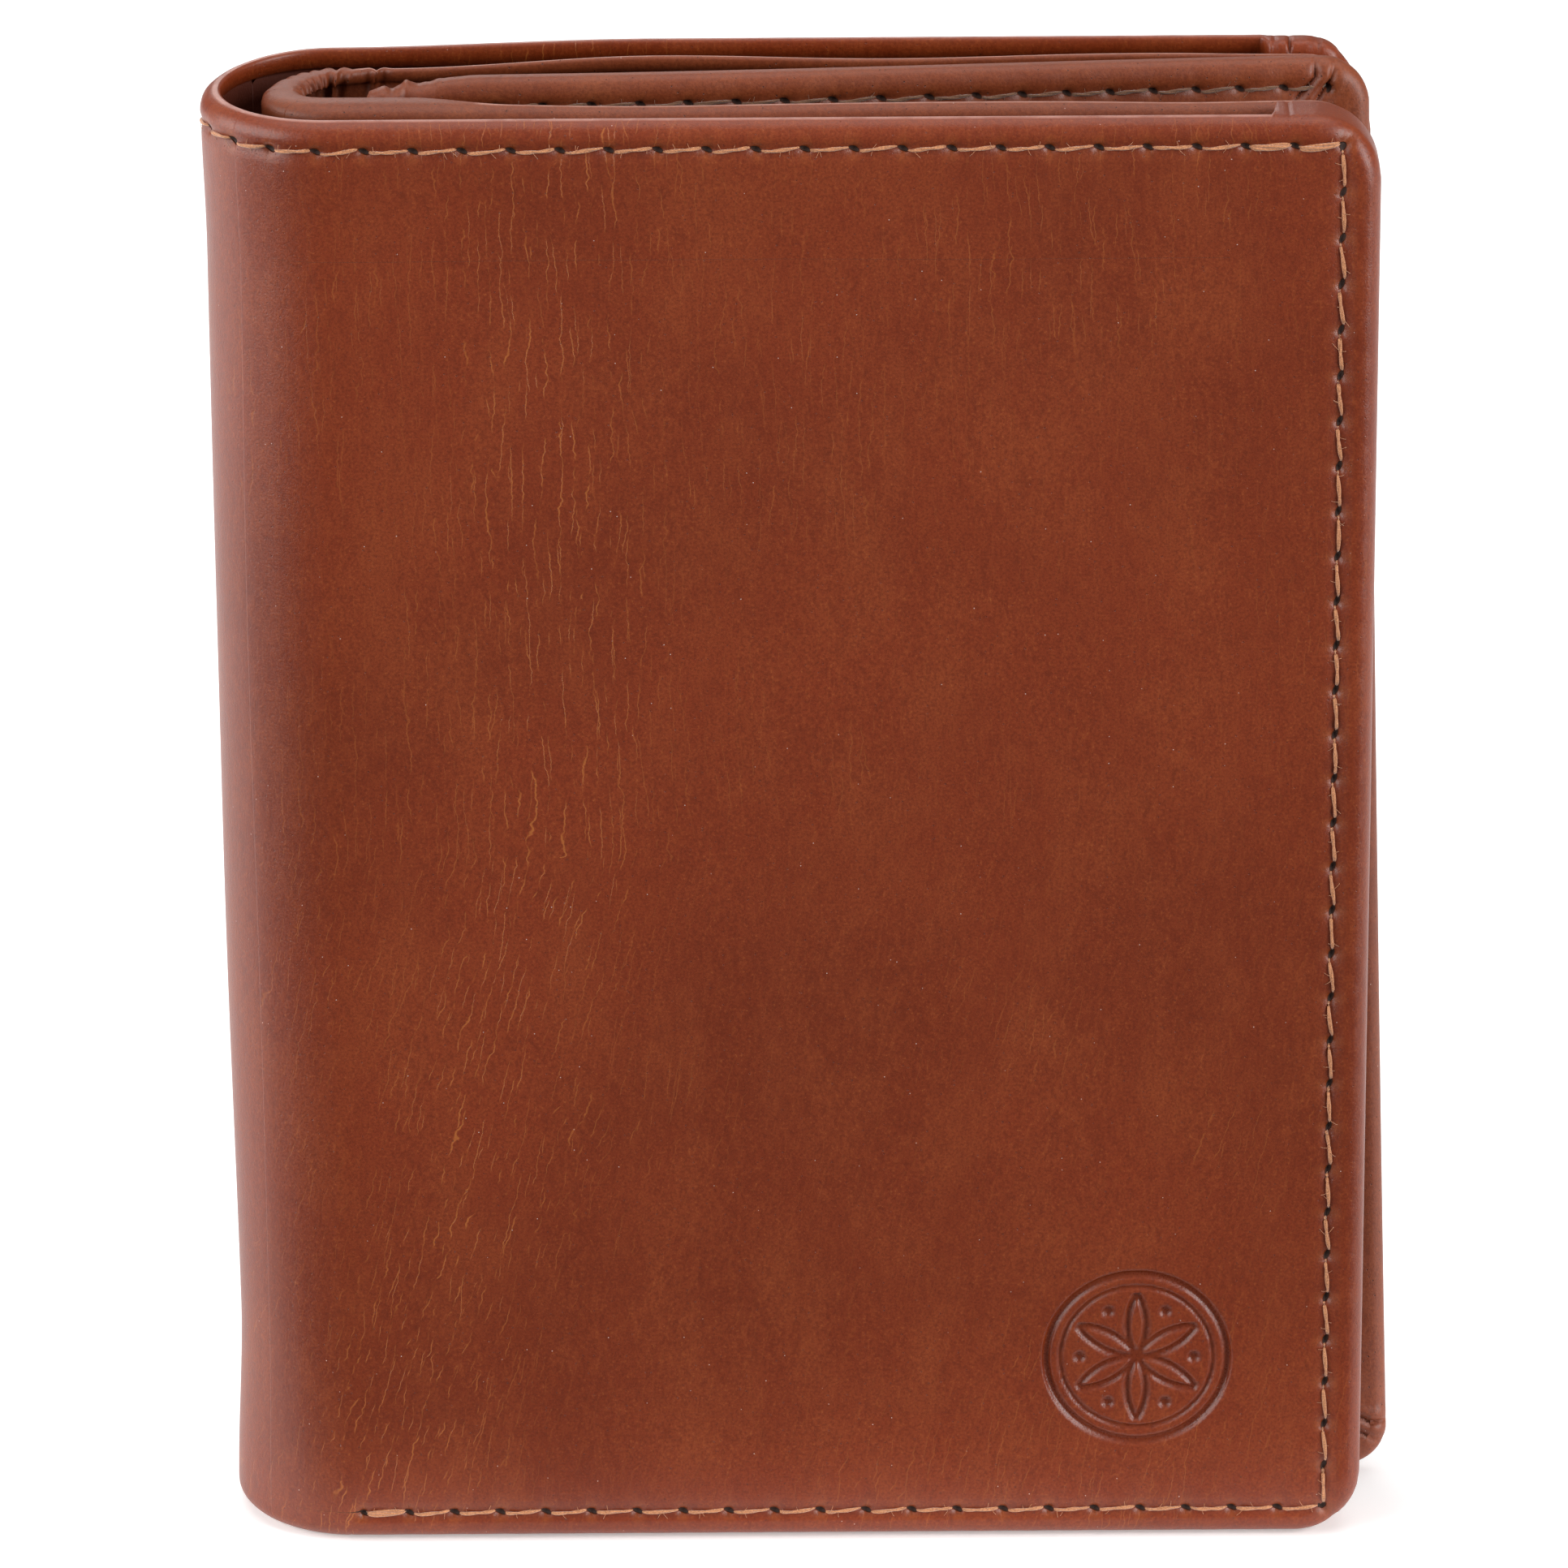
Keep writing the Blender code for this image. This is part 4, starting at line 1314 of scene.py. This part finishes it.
leaf_film = plain_sheet(
    "leaf_window_film", Plane(LEAF_AXIS[0], LEAF_AXIS[1], LEAF_SLANT),
    np.linspace(FILM_MARGIN, LEAF_REACH - LEAF_PEEK - FILM_MARGIN, 40),
    (LEAF_LOW + FILM_MARGIN, LEAF_HIGH - FILM_MARGIN), np.linspace(0, 1, 60),
    (0.1, 0.1, 0.1, 0.2, 0.08, 0.1, 0.2), FILM,
)
for piece, node, slot_name in (
    (leaf_front, "leaf_front", "inner_leather"), (leaf_back, "leaf_back", "inner_leather"),
    (leaf_film, "leaf_window", "window_film"), (leaf_thread, None, None),
):
    shear_leaf(piece)
    if node:
        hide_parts(node)
    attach(piece, "leaf")

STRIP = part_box("leaf_hinge_strip")
STRIP_LOW = 5.0 * MM  # its sewn end stays down between the folds
STRIP_EDGE = 0.3 * MM


def strip_ragged(u, z):
    """The strip's top end is cut roughly."""
    near_top = smooth(z, STRIP[1].z - STRIP_LOW - 2.2 * MM, STRIP[1].z - STRIP_LOW)
    teeth = 0.35 * MM * np.sin(u / (0.31 * MM)) + 0.2 * MM * np.sin(u / (0.13 * MM))
    return -near_top * (0.55 * MM + teeth)


strip = plain_sheet(
    "leaf_hinge_leather", Plane(STRIP[1].x, STRIP[0].y, pi / 2, 1),
    np.linspace(STRIP_EDGE, STRIP[1].y - STRIP[0].y - STRIP_EDGE, 40),
    (STRIP[0].z + STRIP_EDGE, STRIP[1].z - STRIP_LOW),
    np.concatenate([np.linspace(0, 0.96, 70), np.linspace(0.963, 1, 22)]),
    (0.3, 0.25, 0.25, 0.85, 0.25, 0.3, 0.85), INNER, strip_ragged,
)
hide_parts("leaf_hinge_strip")
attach(strip, "back_cover")

# ---------------------------------------------------------------- floor, light and camera

CENTRE = Vector((0.0, 0.0, HEIGHT / 2))
ROOM_LIGHT = 0.22
FLOOR_FRONT = -0.019  # the table ends in front of the object, so its face mirrors the dim room
AIM = CENTRE + Vector((-1.85 * MM, 0.0, 1.75 * MM))
DISTANCE, PITCH_DOWN, ROLL = 0.817, radians(21.4), radians(-0.36)
LENS = 226.0


def floor():
    mesh = bpy.data.meshes.new("floor")
    left, right, front, back = -1.2, 1.2, FLOOR_FRONT, 1.5
    corners = [(left, front, 0), (right, front, 0), (right, back, 0), (left, back, 0)]
    mesh.from_pydata(corners, [], [(0, 1, 2, 3)])
    mesh.materials.append(floor_finish("pale_floor"))
    item = linked("floor", mesh)
    item.location.z = -0.0002


def area_light(name, place, target, size, power):
    data = bpy.data.lights.new(name, "AREA")
    data.shape = "RECTANGLE"
    data.size, data.size_y = size
    data.energy = power
    item = linked(name, data)
    item.location = place
    item.rotation_euler = (Vector(target) - Vector(place)).to_track_quat("-Z", "Y").to_euler()


def world():
    made = bpy.data.worlds.new("studio")
    made.use_nodes = True
    tree = made.node_tree
    background = tree.nodes["Background"]
    background.inputs["Color"].default_value = (1.0, 1.0, 1.0, 1.0)
    seen = tree.nodes.new("ShaderNodeLightPath").outputs["Is Camera Ray"]
    strength = tree.nodes.new("ShaderNodeMapRange")
    tree.links.new(seen, strength.inputs["Value"])
    strength.inputs["To Min"].default_value = ROOM_LIGHT
    strength.inputs["To Max"].default_value = 1.1
    tree.links.new(strength.outputs["Result"], background.inputs["Strength"])
    bpy.context.scene.world = made


def camera():
    data = bpy.data.cameras.new("camera")
    data.sensor_width = 36.0
    data.lens = LENS
    data.clip_start = 0.01
    item = linked("camera", data)
    item.location = AIM + Vector((0.0, -cos(PITCH_DOWN), sin(PITCH_DOWN))) * DISTANCE
    turn = (AIM - item.location).to_track_quat("-Z", "Y")
    item.rotation_mode = "QUATERNION"
    item.rotation_quaternion = turn @ Quaternion((0, 0, 1), ROLL)
    bpy.context.scene.camera = item


floor()
world()
area_light("top", (0.0, 0.10, 1.1), CENTRE, (1.2, 0.9), 6.4)
area_light("key", (-0.85, -0.42, 0.36), CENTRE, (0.75, 0.9), 10.2)
area_light("rim", (-0.95, 0.16, 0.20), CENTRE, (0.4, 0.9), 5.5)
area_light("fill", (0.85, -0.50, 0.36), CENTRE, (0.5, 0.9), 13.0)
area_light("back", (-0.2, 0.9, 0.5), CENTRE, (0.5, 0.3), 1.2)
camera()
bpy.context.scene.view_settings.view_transform = "Standard"
